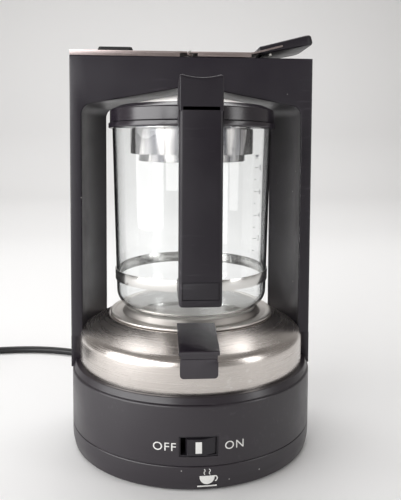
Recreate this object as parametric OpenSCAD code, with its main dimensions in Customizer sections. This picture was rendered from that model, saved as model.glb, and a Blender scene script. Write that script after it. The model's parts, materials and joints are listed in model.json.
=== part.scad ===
// Steam-pressure drip coffee maker: round base with a steel boiler, a portal
// over the jug, a lever-closed fill port and a glass jug with a turning lid.
// Millimetres, +Z up. The origin is the centre of the standing face, the
// switch faces -Y and the lever opens from the +X side.

/* [Base] */
// Radius of the plastic base
base_r = 92; // [90:0.5:94]
// Height at which the lower ring meets the upper shell
seam_z = 17.6; // [16:0.2:20]
// Height of the outer rim of the base
rim_z = 57.9; // [56:0.2:60]
// Height of the rubber feet below the base
foot_h = 1.2; // [1:0.1:2]
// Wall thickness of the base mouldings
base_wall = 2.5; // [2:0.1:3]

/* [Boiler] */
// Radius of the steel skirt
skirt_r = 86.2; // [85.8:0.1:88]
// Height of the break between skirt and shoulder
break_z = 85.2; // [84:0.2:86]
// Radius of the warming plate
plate_r = 63.1; // [61:0.1:63.4]
// Height of the warming plate's rim
plate_rim_z = 99.6; // [99:0.1:99.8]

/* [Portal] */
// Outer radius of the portal's columns
portal_ro = 93.2; // [92.6:0.1:93.6]
// Inner radius of the portal's columns
portal_ri = 84.3; // [83:0.1:85]
// Front face of the portal
portal_front = -8; // [-12:0.5:-6]
// Back face of the portal
portal_back = 47; // [45:0.5:50]
// Top of the portal
portal_top = 294.4; // [293:0.1:296]
// Height of the opening's ridge
ridge_z = 272.8; // [272:0.1:274]
// Fall of the opening's ceiling for each millimetre sideways
ceiling_fall = 0.19; // [0.17:0.01:0.2]

/* [Jug] */
// Underside of the glass jug
jug_z = 103.2; // [103.1:0.1:104]
// Height of the glass rim
jug_rim_z = 241; // [239:0.5:242]
// Outer radius of the glass at the bottom
glass_r_low = 58.2; // [57.5:0.1:59]
// Outer radius of the glass at the rim
glass_r_top = 61.4; // [60.5:0.1:61.6]
// Thickness of the glass
glass_t = 2.2; // [1.8:0.1:2.6]
// Width of the handle
handle_w = 27; // [24:0.5:29]
// Front face of the handle, measured from the jug's axis
handle_reach = 104; // [100:0.5:106]

/* [Lever] */
// Slope of the lever's grip in degrees
grip_angle = 14.5; // [13:0.5:16]
// Length of the grip
grip_len = 43; // [38:0.5:44]

/* [Hidden] */
$fn = 96;
eps = 0.1;

plastic = "#2b2a2e";
plastic_soft = "#343338";
steel = "#c9c4be";
steel_bright = "#dedcd8";
rubber = "#1c1c1e";

// Base
shell_ir = base_r - base_wall;
ledge_z = rim_z + 4.5;
floor_z = foot_h + 1.8;
plate_t = 1.2;
floor_top = floor_z + plate_t;
foot_ring_r = 81;
foot_r = 6;
middle_foot_r = 8;
foot_angles = [45, 135, 225, 315];
screw_angles = [0, 120, 240];
pillar_ring_r = 66;
pillar_r = 4;

// Boiler
sheet_t = 1;
shoulder_z = 97.4;
shoulder_r = 64.5;
vessel_r = 77;
vessel_low = 44;
vessel_high = 82;
vessel_neck_r = 57;
vessel_top = 93.6;
vessel_t = 1.5;
plateau_r = 51;
element_r = 55;
element_tube = 4;

// Portal
portal_wall = 2;
cover_t = 2;
foot_z = 56.2;
portal_mid = (portal_front + portal_back) / 2;
corner_r = 8;
column_x = (sqrt(pow(portal_ro, 2) - pow(portal_mid, 2))
          + sqrt(pow(portal_ri, 2) - pow(portal_mid, 2))) / 2;
cover_screw_x = 79;
tube_r = 2.4;
tube_bore = 1.6;
tube_low_z = 68;
riser_top_z = 283;
nozzle_z = 268.2;
duct_w = 16;
duct_t = 3.6;
duct_wall = 0.8;
duct_top_z = 280;
duct_r = (portal_ro + portal_ri) / 2;
port_x = 30;
port_r = 13;
port_wall = 1.6;

// Lever and top plate
strip_t = 1.2;
strip_top = portal_top + 4;
pivot = [-1.9, portal_mid, portal_top + 3.7];
pin_r = 0.9;
knuckle_r = 1.8;
knuckle_w = 7.4;
knuckle_pitch = 7.8;
knuckle_y0 = portal_mid - 2.5 * knuckle_pitch + 0.2;
strip_y0 = portal_front + 0.5;
strip_y1 = portal_back - 0.5;
bend_x = 45;
grip_start = [52, portal_top + 4.9];
grip_t = 8;
grip_y0 = strip_y0 + 1.5;
grip_y1 = strip_y1 - 1.5;
grip_corner = 7;

// Switch
switch_z = 31;
switch_w = 24;
switch_h = 12;
rocker_pivot_y = -81;
rocker_reach = 12.6;
rocker_half = 9.5;
rocker_tilt = 10;
rocker_pin_r = 1.5;

// Mains lead
cord_r = 3.5;
exit_angle = 115;
exit_z = 30;
relief_r0 = 86;
relief_r1 = 103;
cord_path = [
    [-43.5, 93.3, 30], [-48, 103, 29.5], [-54, 116, 26], [-61, 130, 19.5],
    [-70, 145, 11.5], [-81, 159, 5.5], [-94, 171, 3.7], [-110, 181, 3.6],
    [-130, 190, 3.6], [-152, 196, 3.6], [-176, 198, 3.6], [-200, 196.5, 3.6],
    [-222, 193, 3.8], [-242, 189, 4.1], [-260, 186, 4.3]
];
coil_at = [-270, 140];
coil_ro = 47.2;
coil_ri = 32.8;
coil_z = 0.8;
coil_h = 14.2;
plug_at = [-313.5, 84];
plug_r = 18;
plug_h = 20;
plug_z = coil_z + coil_h - cord_r;

// Catch on the boiler's front
tab_w = 26.4;
tab_pivot = [0, -88.4, 89];
tab_pin_r = 1;

// Jug and lid
glass_slope = (glass_r_top - glass_r_low) / (jug_rim_z - jug_z - 14);
band_z = 124.6;
band_h = 8;
band_t = 0.8;
handle_back = handle_reach - 18;
handle_low = 128.4;
handle_top = 249.8;
collar_r = 64.3;
collar_z = 241.2;
lid_z = 244;
lid_r = 63.2;
lid_top = 256.7;
lid_bevel_r = 56.5;
cone_r = 55.2;
cone_top = 267.2;
cone_hole = 5;
basket_r = 47.7;
basket_flange_r = 58.2;
basket_z = 219;
basket_low_r = 41.5;
basket_low_z = 213.4;

// ---- Shared shapes ----

function arc(cx, cy, r, a0, a1, n = 8) = [
    for (i = [0:n])
        [cx + r * cos(a0 + (a1 - a0) * i / n), cy + r * sin(a0 + (a1 - a0) * i / n)]
];

band_screw_y = -glass_r(band_z) - band_t - 6;
arm_r = glass_r(band_z + band_h) + band_t + 0.1;

function glass_r(z) = glass_r_low + (z - jug_z - 14) * glass_slope;

module lathe(points) {
    rotate_extrude($fn = 144) polygon(points);
}

module ring(ri, ro, z, h) {
    translate([0, 0, z]) difference() {
        cylinder(r = ro, h = h);
        translate([0, 0, -eps]) cylinder(r = ri, h = h + 2 * eps);
    }
}

module rod(from, to, r) {
    d = to - from;
    length = norm(d);
    translate(from)
        rotate([0, acos(d[2] / length), atan2(d[1], d[0])])
            cylinder(r = r, h = length);
}

module round_plate(w, d, h, r) {
    translate([r, 0, 0]) cube([w - 2 * r, d, h]);
    translate([0, r, 0]) cube([w, d - 2 * r, h]);
    for (x = [r, w - r], y = [r, d - r])
        translate([x, y, 0]) cylinder(r = r, h = h);
}

module prism_y(y0, y1) {
    translate([0, y1, 0]) rotate([90, 0, 0]) linear_extrude(y1 - y0) children();
}

module prism_x(x0, x1) {
    translate([x0, 0, 0]) rotate([90, 0, 90]) linear_extrude(x1 - x0) children();
}

// ---- Base ----

module rubber_feet() {
    color(rubber) {
        for (a = foot_angles)
            rotate([0, 0, a]) translate([foot_ring_r, 0, 0])
                cylinder(r = foot_r, h = foot_h);
        cylinder(r = middle_foot_r, h = floor_z);
    }
}

module base_ring() {
    color(plastic) lathe(concat(
        [[shell_ir - 2, seam_z + 3], [shell_ir - 0.2, seam_z + 3], [shell_ir - 0.2, seam_z],
         [base_r - 0.5, seam_z], [base_r, seam_z - 0.5]],
        arc(base_r - 2, foot_h + 2, 2, 0, -90),
        [[base_r - 19, foot_h], [base_r - 19, floor_z], [shell_ir - 2, floor_z]]
    ));
}

module base_plate() {
    color(steel) difference() {
        translate([0, 0, floor_z]) cylinder(r = shell_ir - 2.4, h = plate_t);
        for (a = screw_angles)
            rotate([0, 0, a]) translate([pillar_ring_r, 0, floor_z - eps])
                cylinder(r = 2.2, h = plate_t + 2 * eps);
        for (a = [0:30:330])
            rotate([0, 0, a + 15]) translate([40, 0, floor_z - eps])
                cylinder(r = 3, h = plate_t + 2 * eps);
    }
}

module base_screws() {
    color(steel_bright)
        for (a = screw_angles)
            rotate([0, 0, a]) translate([pillar_ring_r, 0, 0]) difference() {
                union() {
                    translate([0, 0, foot_h + 0.2]) cylinder(r = 3.6, h = floor_z - foot_h - 0.2);
                    translate([0, 0, floor_z]) cylinder(r = 2, h = plate_t + 8);
                }
                for (turn = [0, 90])
                    rotate([0, 0, turn]) translate([-2.2, -0.4, foot_h]) cube([4.4, 0.8, 1.1]);
            }
}

module column_slots(gap) {
    for (side = [0, 1])
        mirror([side, 0, 0]) difference() {
            translate([60, portal_front - gap, foot_z])
                cube([50, portal_back - portal_front + 2 * gap, 60]);
            cylinder(r = portal_ri - gap, h = 200);
        }
}

module base_shell() {
    color(plastic) difference() {
        lathe(concat(
            [[base_r - 0.5, seam_z], [base_r, seam_z + 0.5]],
            arc(base_r - 1.8, rim_z - 1.8, 1.8, 0, 70),
            [[skirt_r + 0.9, ledge_z], [skirt_r - 2.6, ledge_z], [skirt_r - 2.6, ledge_z - 2],
             [shell_ir, rim_z - 4], [shell_ir, seam_z]]
        ));
        column_slots(0);
        translate([-switch_w / 2 - 0.9, -base_r - 1, switch_z - switch_h / 2 - 0.9])
            cube([switch_w + 1.8, 20, switch_h + 1.8]);
        rotate([0, 0, exit_angle]) translate([relief_r0 - 4, 0, exit_z]) rotate([0, 90, 0])
            cylinder(r = 5.5, h = 12);
    }
}

// ---- Boiler ----

module vessel_pillars() {
    color(steel)
        for (a = screw_angles)
            rotate([0, 0, a]) translate([pillar_ring_r, 0, floor_top]) difference() {
                cylinder(r = pillar_r, h = vessel_low - floor_top);
                translate([0, 0, -eps]) cylinder(r = 2.1, h = 8.4);
            }
}

module boiler_vessel() {
    color(steel) difference() {
        lathe([
            [0, vessel_low], [vessel_r, vessel_low], [vessel_r, vessel_high],
            [vessel_neck_r, vessel_top], [0, vessel_top],
            [0, vessel_top - vessel_t], [vessel_neck_r - 0.8, vessel_top - vessel_t],
            [vessel_r - vessel_t, vessel_high - 0.8], [vessel_r - vessel_t, vessel_low + vessel_t],
            [0, vessel_low + vessel_t]
        ]);
        translate([-vessel_r - 5, portal_mid, tube_low_z]) rotate([0, 90, 0])
            cylinder(r = tube_r + 0.1, h = 12);
        translate([vessel_r - 9, portal_mid - duct_w / 2 - 0.1, tube_low_z - duct_t / 2 - 0.1])
            cube([14, duct_w + 0.2, duct_t + 0.2]);
    }
}

module vessel_gasket() {
    color(rubber) ring(45, 53, vessel_top, shoulder_z - sheet_t - vessel_top);
}

module heating_element() {
    z = vessel_low - element_tube;
    color(steel_bright) {
        difference() {
            translate([0, 0, z]) rotate_extrude() translate([element_r, 0]) circle(r = element_tube);
            translate([0, -element_r - 8, z]) translate([-7, 0, -6]) cube([14, 16, 12]);
        }
        for (side = [-1, 1])
            translate([side * 9, -element_r + 0.8, z - 14]) cylinder(r = 2.2, h = 12);
    }
}

module element_clamps() {
    z = vessel_low - 2 * element_tube;
    color(steel)
        for (a = [30, 150, 270])
            if (a != 270)
                rotate([0, 0, a]) translate([element_r - 9, -5, z - 1.4]) cube([18, 10, 1.2]);
            else
                translate([-5, -element_r + 16, z - 1.4]) cube([10, 12, 1.2]);
}

module thermostat() {
    color("#d8d2c4") {
        translate([0, 20, vessel_low - 8]) cylinder(r = 8, h = 8);
        for (side = [-1, 1])
            translate([side * 5 - 2, 19.6, vessel_low - 15]) cube([4, 0.8, 7.5]);
    }
}

module thermal_fuse() {
    color("#e6e0d0") {
        translate([-14, -12, vessel_low - 5]) rotate([0, 90, 0]) cylinder(r = 2.6, h = 28);
        translate([-4, -15, vessel_low - 2.2]) cube([8, 6, 2.1]);
    }
}

module boiler_shell() {
    color(steel) difference() {
        lathe(concat(
            [[skirt_r, ledge_z]],
            arc(skirt_r - 3, break_z - 1.6, 3, 0, 62),
            [[shoulder_r, shoulder_z], [44, shoulder_z], [44, shoulder_z - sheet_t],
             [shoulder_r - 0.4, shoulder_z - sheet_t]],
            arc(skirt_r - 4, break_z - 2.4, 3, 62, 0),
            [[skirt_r - sheet_t, ledge_z]]
        ));
        column_slots(0.2);
    }
}

module warming_plate() {
    color(steel_bright) lathe(concat(
        [[0, shoulder_z], [plate_r - 3, shoulder_z]],
        arc(plate_r - 1.1, plate_rim_z - 1.1, 1.1, -90, 90),
        [[plate_r - 3.4, plate_rim_z], [plate_r - 4.4, plate_rim_z - 0.9],
         [plateau_r + 2, plate_rim_z - 0.9], [plateau_r, jug_z - 0.2], [0, jug_z - 0.2]]
    ));
}

// ---- Portal ----

// The opening's outline, with rounded corners below the sloping ceiling.
function opening_outline(grow) =
    let (
        wall_x = portal_ri + grow,
        peak = ridge_z + grow,
        tilt = atan(ceiling_fall),
        cx = wall_x - corner_r,
        cz = peak - ceiling_fall * cx - corner_r / cos(tilt)
    )
    concat(
        [[-wall_x, 0], [wall_x, 0]],
        arc(cx, cz, corner_r, 0, 90 - tilt),
        [[0, peak]],
        arc(-cx, cz, corner_r, 90 + tilt, 180)
    );

module portal_opening(grow) {
    intersection() {
        cylinder(r = portal_ri + grow, h = portal_top);
        prism_y(portal_front - 20, portal_back + 20) polygon(opening_outline(grow));
    }
}

module portal_body(inset, y0, y1) {
    difference() {
        intersection() {
            translate([0, 0, foot_z + inset])
                cylinder(r = portal_ro - inset, h = portal_top - foot_z - 2 * inset);
            translate([-100, y0, 0]) cube([200, y1 - y0, 400]);
        }
        portal_opening(inset);
    }
}

module cover_screw_places() {
    for (x = [-cover_screw_x, cover_screw_x], z = [92, 175])
        translate([x, 0, z]) children();
    for (x = [-52, 52])
        translate([x, 0, 281.5]) children();
}

module portal_frame() {
    color(plastic) difference() {
        union() {
            difference() {
                portal_body(0, portal_front, portal_back - cover_t);
                portal_body(portal_wall, portal_front + portal_wall, portal_back + 1);
            }
            cover_screw_places() translate([0, portal_back - cover_t, 0]) rotate([90, 0, 0])
                cylinder(r = 2.6, h = 9);
        }
        cover_screw_places() translate([0, portal_back, 0]) rotate([90, 0, 0])
            cylinder(r = 1.4, h = 9);
        translate([0, 0, ridge_z - 4]) cylinder(r = 5.7, h = 8);
        translate([port_x, portal_mid, portal_top - 4]) cylinder(r = port_r, h = 8);
        translate([-column_x - 1, portal_mid, tube_low_z]) rotate([0, 90, 0])
            cylinder(r = tube_r + 0.1, h = 20);
        translate([column_x - 15, portal_mid - duct_w / 2 - 0.1, tube_low_z - duct_t / 2 - 0.1])
            cube([16, duct_w + 0.2, duct_t + 0.2]);
    }
}

module portal_back_cover() {
    color(plastic_soft) difference() {
        portal_body(0, portal_back - cover_t, portal_back);
        cover_screw_places() translate([0, portal_back + 1, 0]) rotate([90, 0, 0])
            cylinder(r = 1.7, h = 6);
    }
}

module portal_screws() {
    color(steel_bright) cover_screw_places() {
        translate([0, portal_back + 1.6, 0]) rotate([90, 0, 0]) cylinder(r = 2.9, h = 1.6);
        translate([0, portal_back, 0]) rotate([90, 0, 0]) cylinder(r = 1.4, h = 9);
    }
}

module riser_line(r, reach) {
    a = [-column_x, portal_mid, tube_low_z];
    b = [-column_x, portal_mid, riser_top_z];
    c = [0, portal_mid, riser_top_z];
    d = [0, 0, riser_top_z];
    rod([-vessel_r + 4 - reach, portal_mid, tube_low_z], a, r);
    rod(a, b, r);
    rod(b, c, r);
    rod(c, d, r);
    for (p = [a, b, c, d])
        translate(p) sphere(r = r, $fn = 48);
}

module riser_tube() {
    color(steel_bright) difference() {
        riser_line(tube_r, 0);
        riser_line(tube_bore, -1);
        translate([0, 0, riser_top_z - 5]) cylinder(r = tube_bore, h = 5);
    }
}

module brew_outlet() {
    color(plastic_soft) difference() {
        union() {
            translate([0, 0, nozzle_z]) cylinder(r1 = 4.2, r2 = 5.4, h = ridge_z - 1 - nozzle_z);
            translate([0, 0, ridge_z - 1]) cylinder(r = 5.6, h = 4);
            intersection() {
                translate([0, 0, ridge_z + 2.1]) cylinder(r = 8, h = 2.4);
                translate([-10, portal_front + portal_wall + 0.2, ridge_z]) cube([20, 20, 8]);
            }
            translate([0, 0, ridge_z + 4.5]) cylinder(r = 4, h = riser_top_z - tube_r - ridge_z - 4.6);
        }
        translate([0, 0, 260]) cylinder(r = tube_bore, h = 40);
    }
}

module fill_port() {
    depth = portal_top - duct_top_z - duct_t;
    color(plastic_soft) translate([port_x, portal_mid, portal_top - depth]) difference() {
        union() {
            cylinder(r = 9, h = depth);
            translate([0, 0, depth - 6]) cylinder(r1 = 9, r2 = port_r, h = 4);
            translate([0, 0, depth - 2]) cylinder(r = port_r, h = 2.2);
            translate([0, 0, depth]) cylinder(r = port_r + 1.5, h = 0.4);
        }
        translate([0, 0, -eps]) cylinder(r = 7.4, h = depth);
        translate([0, 0, depth - 6]) cylinder(r1 = 7.4, r2 = port_r - port_wall, h = 6.5);
    }
}

// The duct follows the column's curve, with a level run at either end.
module fill_line(inset) {
    w = duct_w - 2 * inset;
    t = duct_t - 2 * inset;
    y = portal_mid - w / 2;
    low = tube_low_z - t / 2;
    high = duct_top_z + inset + t;
    intersection() {
        ring(duct_r - t / 2, duct_r + t / 2, low, high - low);
        translate([0, y, 0]) cube([100, w, 400]);
    }
    intersection() {
        cylinder(r = duct_r + t / 2, h = 400);
        union() {
            translate([port_x - 9 + inset, y, high - t]) cube([90, w, t]);
            translate([vessel_r - 4, y, low]) cube([20, w, t]);
        }
    }
}

module fill_duct() {
    color(plastic_soft) difference() {
        fill_line(0);
        fill_line(duct_wall);
        translate([port_x, portal_mid, duct_top_z + duct_wall]) cylinder(r = 7, h = 10);
        translate([vessel_r - 5, portal_mid - duct_w / 2 + duct_wall, tube_low_z - duct_t / 2 + duct_wall])
            cube([4, duct_w - 2 * duct_wall, duct_t - 2 * duct_wall]);
    }
}

// ---- Top plate and lever ----

module knuckle(index) {
    translate([pivot[0], knuckle_y0 + index * knuckle_pitch + knuckle_w, pivot[2]])
        rotate([90, 0, 0]) cylinder(r = knuckle_r, h = knuckle_w);
}

// A sheet leaf reaching from the knuckle's axis to the strip's own edge.
module knuckle_leaf(index, reach) {
    translate([min(pivot[0], pivot[0] + reach), knuckle_y0 + index * knuckle_pitch, strip_top - strip_t])
        cube([abs(reach), knuckle_w, strip_t]);
}

module pin_bore(r) {
    translate([pivot[0], strip_y1, pivot[2]]) rotate([90, 0, 0])
        cylinder(r = r, h = strip_y1 - strip_y0);
}

// Clear way around the other leaf's knuckles.
module knuckle_gaps(indices) {
    for (i = indices)
        translate([pivot[0], knuckle_y0 + (i + 1) * knuckle_pitch, pivot[2]])
            rotate([90, 0, 0]) cylinder(r = knuckle_r + 0.4, h = knuckle_pitch + 0.4);
}

module top_plate_blank(inset, z0, z1) {
    intersection() {
        translate([0, 0, z0]) cylinder(r = portal_ro - 0.2 - inset, h = z1 - z0);
        translate([-100, strip_y0 + inset, z0])
            cube([100 + pivot[0] - 2.2, strip_y1 - strip_y0 - 2 * inset, z1 - z0]);
    }
}

module top_plate() {
    color(steel) difference() {
        union() {
            difference() {
                top_plate_blank(0, portal_top, strip_top);
                top_plate_blank(strip_t, portal_top - 1, strip_top - strip_t);
                translate([pivot[0] - 8, strip_y0 - 1, portal_top - 1])
                    cube([10, strip_y1 - strip_y0 + 2, strip_top - strip_t - portal_top + 1]);
                knuckle_gaps([1, 3]);
            }
            for (i = [0, 2, 4]) {
                knuckle(i);
                knuckle_leaf(i, -6);
            }
        }
        pin_bore(pin_r);
    }
}

module rest_pad() {
    color(rubber) translate([-72, strip_y0 + 0.6, strip_top]) {
        round_plate(26.5, 24, 1.6, 3);
        translate([0.6, 0.6, 1.6]) round_plate(25.3, 22.8, 1.2, 2.6);
    }
}

module hinge_pin() {
    color(steel_bright) pin_bore(pin_r);
}

module lever_buffer() {
    color(rubber) translate([bend_x + 1, portal_mid - 15, portal_top]) round_plate(6, 30, 1.6, 2);
}

module lever_profile(t) {
    x1 = grip_start[0] + 18 * cos(grip_angle);
    z1 = grip_start[1] + 18 * sin(grip_angle);
    low = strip_top - t;
    polygon([
        [pivot[0] + 1.3, low], [bend_x, low], [bend_x + 4, low + 0.6],
        [x1, z1 - t / 2], [x1 - 0.3, z1 + t / 2], [bend_x + 3.6, strip_top + 0.6],
        [bend_x - 0.4, strip_top], [pivot[0] + 1.3, strip_top]
    ]);
}

module lever_strip() {
    color(steel) difference() {
        union() {
            difference() {
                prism_y(strip_y0, strip_y1) lever_profile(strip_t);
                knuckle_gaps([0, 2, 4]);
            }
            for (y = [strip_y0, strip_y1 - strip_t])
                translate([4, y, strip_top - 3.6]) cube([bend_x - 4, strip_t, 3]);
            for (i = [1, 3]) {
                knuckle(i);
                knuckle_leaf(i, 5);
            }
        }
        pin_bore(pin_r + 0.05);
        translate([port_x, portal_mid, strip_top - 4]) cylinder(r = 2, h = 8);
        grip_frame() for (y = [grip_y0 + 10, grip_y1 - 10])
            translate([9, y, -4]) cylinder(r = 1.5, h = 8);
    }
}

module grip_frame() {
    translate([grip_start[0], 0, grip_start[1]]) rotate([0, -grip_angle, 0]) children();
}

module lever_grip() {
    w = grip_y1 - grip_y0;
    color(plastic) difference() {
        grip_frame() {
            translate([0, grip_y0, -grip_t / 2]) cube([grip_len / 2, w, grip_t]);
            translate([0, grip_y0, -grip_t / 2]) round_plate(grip_len, w, grip_t, grip_corner);
        }
        grip_frame() {
            translate([-1, strip_y0 - 1, -0.66]) cube([19.2, strip_y1 - strip_y0 + 2, 1.32]);
            for (y = [grip_y0 + 10, grip_y1 - 10])
                translate([9, y, -6]) cylinder(r = 1.5, h = 12);
        }
        translate([0, strip_y0 - 1, portal_top - 10])
            cube([100, strip_y1 - strip_y0 + 2, 10.4]);
    }
}

module grip_rivets() {
    color(steel_bright) grip_frame()
        for (y = [grip_y0 + 10, grip_y1 - 10])
            translate([9, y, -grip_t / 2]) {
                cylinder(r = 1.5, h = grip_t);
                translate([0, 0, grip_t]) cylinder(r1 = 3, r2 = 2, h = 0.8);
            }
}

module seal_plug() {
    top = strip_top - strip_t;
    color(rubber) {
        translate([port_x, portal_mid, portal_top + 0.7]) cylinder(r = port_r + 1, h = top - portal_top - 0.7);
        translate([port_x, portal_mid, portal_top - 2]) cylinder(r1 = 9, r2 = 9.8, h = 2.8);
        translate([port_x, portal_mid, top]) cylinder(r = 2, h = strip_t);
        translate([port_x, portal_mid, strip_top]) cylinder(r1 = 4, r2 = 3, h = 0.8);
    }
}

// ---- Switch ----

module switch_housing() {
    z0 = switch_z - switch_h / 2;
    color(rubber) difference() {
        intersection() {
            translate([-switch_w / 2 - 0.8, -base_r, z0 - 0.8])
                cube([switch_w + 1.6, 22, switch_h + 1.6]);
            cylinder(r = base_r - 0.4, h = 100);
        }
        translate([-switch_w / 2 + 0.2, -base_r - 1, z0 + 0.2])
            cube([switch_w - 0.4, 20, switch_h - 0.4]);
        translate([0, rocker_pivot_y, z0 - 2]) cylinder(r = rocker_pin_r + 0.05, h = switch_h + 4);
    }
}

// Rocker outline seen from above, in its rest pose: tilted to its left end.
module rocker_frame() {
    translate([0, rocker_pivot_y, 0]) rotate([0, 0, rocker_tilt]) children();
}

module switch_rocker() {
    fall = rocker_half * tan(rocker_tilt);
    z0 = switch_z - switch_h / 2 + 0.6;
    h = switch_h - 1.2;
    color(plastic_soft) {
        rocker_frame() translate([0, 0, z0]) linear_extrude(h) polygon([
            [0, -rocker_reach], [rocker_half, -rocker_reach + fall], [rocker_half, -4.5],
            [3.2, 2.5], [-3.2, 2.5], [-rocker_half, -4.5], [-rocker_half, -rocker_reach + fall]
        ]);
        translate([0, rocker_pivot_y, switch_z - switch_h / 2 - 0.7])
            cylinder(r = rocker_pin_r, h = switch_h + 1.4);
    }
}

module rocker_mark() {
    color("white") rocker_frame()
        translate([0, -rocker_reach, switch_z - 3.8]) rotate([0, 0, -rocker_tilt])
            translate([-4.3, -0.3, 0]) cube([4.1, 0.3, 7.6]);
}

// ---- Mains lead ----

module terminal_block() {
    color("#e8e4da") difference() {
        translate([-15, 60, floor_top]) cube([30, 14, 12]);
        for (i = [-1:1])
            translate([i * 10, 59, floor_top + 7]) rotate([-90, 0, 0]) cylinder(r = 2, h = 16);
    }
}

module strain_relief() {
    color(rubber) rotate([0, 0, exit_angle]) translate([0, 0, exit_z]) rotate([0, 90, 0])
        difference() {
            union() {
                translate([0, 0, relief_r0]) cylinder(r = 7.5, h = 2.4);
                translate([0, 0, relief_r0]) cylinder(r = 5.4, h = 7);
                translate([0, 0, base_r + 0.3]) cylinder(r = 7, h = 1.8);
                translate([0, 0, base_r + 0.3]) cylinder(r1 = 5.8, r2 = 4.6, h = relief_r1 - base_r - 0.3);
            }
            translate([0, 0, relief_r0 - 1]) cylinder(r = cord_r + 0.1, h = 30);
        }
}

// Round tube swept along a list of points.
function unit(v) = v / norm(v);
function tangent(path, i) =
    i == 0 ? unit(path[1] - path[0])
    : i == len(path) - 1 ? unit(path[i] - path[i - 1])
    : unit(path[i + 1] - path[i - 1]);
function side_of(t) = unit(cross([0, 0, 1], t));
function spline(path, i, t) =
    let (
        n = len(path) - 1,
        a = path[max(i - 1, 0)], b = path[i], c = path[min(i + 1, n)], d = path[min(i + 2, n)]
    )
    0.5 * (2 * b + (c - a) * t + (2 * a - 5 * b + 4 * c - d) * t * t
        + (3 * b - a - 3 * c + d) * t * t * t);
function smooth_path(path, steps) = concat(
    [for (i = [0:len(path) - 2], s = [0:steps - 1]) spline(path, i, s / steps)],
    [path[len(path) - 1]]
);

module tube(path, r, sides) {
    n = len(path);
    points = [
        for (i = [0:n - 1])
            let (t = tangent(path, i), u = side_of(t), v = cross(t, u))
            for (k = [0:sides - 1])
                path[i] + r * (cos(360 * k / sides) * u + sin(360 * k / sides) * v)
    ];
    walls = [
        for (i = [0:n - 2], k = [0:sides - 1])
            [i * sides + k, i * sides + (k + 1) % sides,
             (i + 1) * sides + (k + 1) % sides, (i + 1) * sides + k]
    ];
    caps = [
        [for (k = [sides - 1:-1:0]) k],
        [for (k = [0:sides - 1]) (n - 1) * sides + k]
    ];
    polyhedron(points, [for (f = concat(walls, caps)) [for (j = [len(f) - 1:-1:0]) f[j]]]);
}

module power_cord() {
    color(rubber) tube(smooth_path(cord_path, 2), cord_r, 12);
}

module cord_coil() {
    low = coil_z + cord_r;
    high = coil_z + coil_h - cord_r;
    color(rubber) translate([coil_at[0], coil_at[1], 0]) rotate_extrude() polygon(concat(
        arc(coil_ro - cord_r, low, cord_r, -90, 0, 4), arc(coil_ro - cord_r, high, cord_r, 0, 90, 4),
        arc(coil_ri + cord_r, high, cord_r, 90, 180, 4), arc(coil_ri + cord_r, low, cord_r, 180, 270, 4)
    ));
}

module cord_tie() {
    w = coil_ro - coil_ri + 0.8;
    color("white") translate([coil_at[0] + coil_ri - 0.4, coil_at[1] - 2.5, coil_z - 0.05]) difference() {
        translate([-0.6, 0, -0.6]) cube([w + 1.2, 5, coil_h + 1.3]);
        translate([0, -1, 0]) cube([w, 7, coil_h + 0.1]);
    }
}

module plug_body() {
    color(rubber) {
        translate([plug_at[0], plug_at[1], 0.1]) cylinder(r = plug_r, h = plug_h);
        translate([plug_at[0], plug_at[1] + plug_r - 4, plug_z]) rotate([-90, 0, 0])
            cylinder(r1 = 6, r2 = 4.6, h = 24);
    }
}

module plug_pins() {
    color(steel_bright)
        for (side = [-1, 1])
            translate([plug_at[0] + side * 9.5, plug_at[1], plug_h + 0.1]) {
                cylinder(r = 2.4, h = 17);
                translate([0, 0, 17]) cylinder(r1 = 2.4, r2 = 1.4, h = 2);
            }
}

// ---- Catch on the boiler's front ----

module catch_bracket() {
    color(steel) difference() {
        prism_x(-5, 5) polygon([
            [-90.1, 87], [-90.1, 90], [-88.3, 90.6], [-74, 90.6], [-74, 87]
        ]);
        lathe([
            [0, 40], [skirt_r + 0.02, 40], [skirt_r + 0.02, break_z + 0.4],
            [shoulder_r + 0.02, shoulder_z + 0.6], [0, shoulder_z + 0.6]
        ]);
        translate([-10, tab_pivot[1], tab_pivot[2]]) rotate([0, 90, 0]) cylinder(r = tab_pin_r, h = 20);
    }
}

module catch_pin() {
    color(steel_bright) translate([-8.2, tab_pivot[1], tab_pivot[2]]) rotate([0, 90, 0])
        cylinder(r = tab_pin_r, h = 16.4);
}

module catch_tab() {
    half = tab_w / 2;
    color(plastic) difference() {
        union() {
            prism_x(-half, half) polygon([
                [-57, 102.7], [-93.4, 94.6], [-93.9, 94], [-93.9, 91.6], [-90.8, 91.4],
                [-86, 92.2], [-65.2, 98], [-64.4, 100.1], [-57, 100.5]
            ]);
            prism_x(-half + 1.2, half - 1.2) polygon([
                [-93, 92], [-92.2, 87.6], [-90.8, 87.6], [-90.8, 92]
            ]);
            translate([-half + 0.8, -90.6, 76.2]) rotate([90, 0, 0])
                round_plate(tab_w - 1.6, 12.6, 2.2, 2.6);
            for (x = [-8, 5.4])
                prism_x(x, x + 2.6) polygon([
                    [-91.5, 87.6], [-87, 87.4], [-86.6, 92.4], [-91.5, 92.4]
                ]);
        }
        translate([-10, tab_pivot[1], tab_pivot[2]]) rotate([0, 90, 0])
            cylinder(r = tab_pin_r + 0.05, h = 20);
    }
}

// ---- Jug ----

module jug_glass() {
    r0 = glass_r_low;
    bend = 13;
    color([0.85, 0.9, 0.92, 0.35]) lathe(concat(
        [[0, jug_z + 1.6], [38, jug_z]],
        [[r0 - bend, jug_z]],
        arc(r0 - bend, jug_z + bend, bend, -84, 0, 10),
        [[glass_r_top, jug_rim_z - 1]],
        arc(glass_r_top - glass_t / 2, jug_rim_z - 1, glass_t / 2, 0, 180, 6),
        [[glass_r_top - glass_t, jug_rim_z - 1]],
        arc(r0 - bend, jug_z + bend, bend - glass_t, 0, -84, 10),
        [[38, jug_z + glass_t], [0, jug_z + glass_t + 1.6]]
    ));
}

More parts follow.
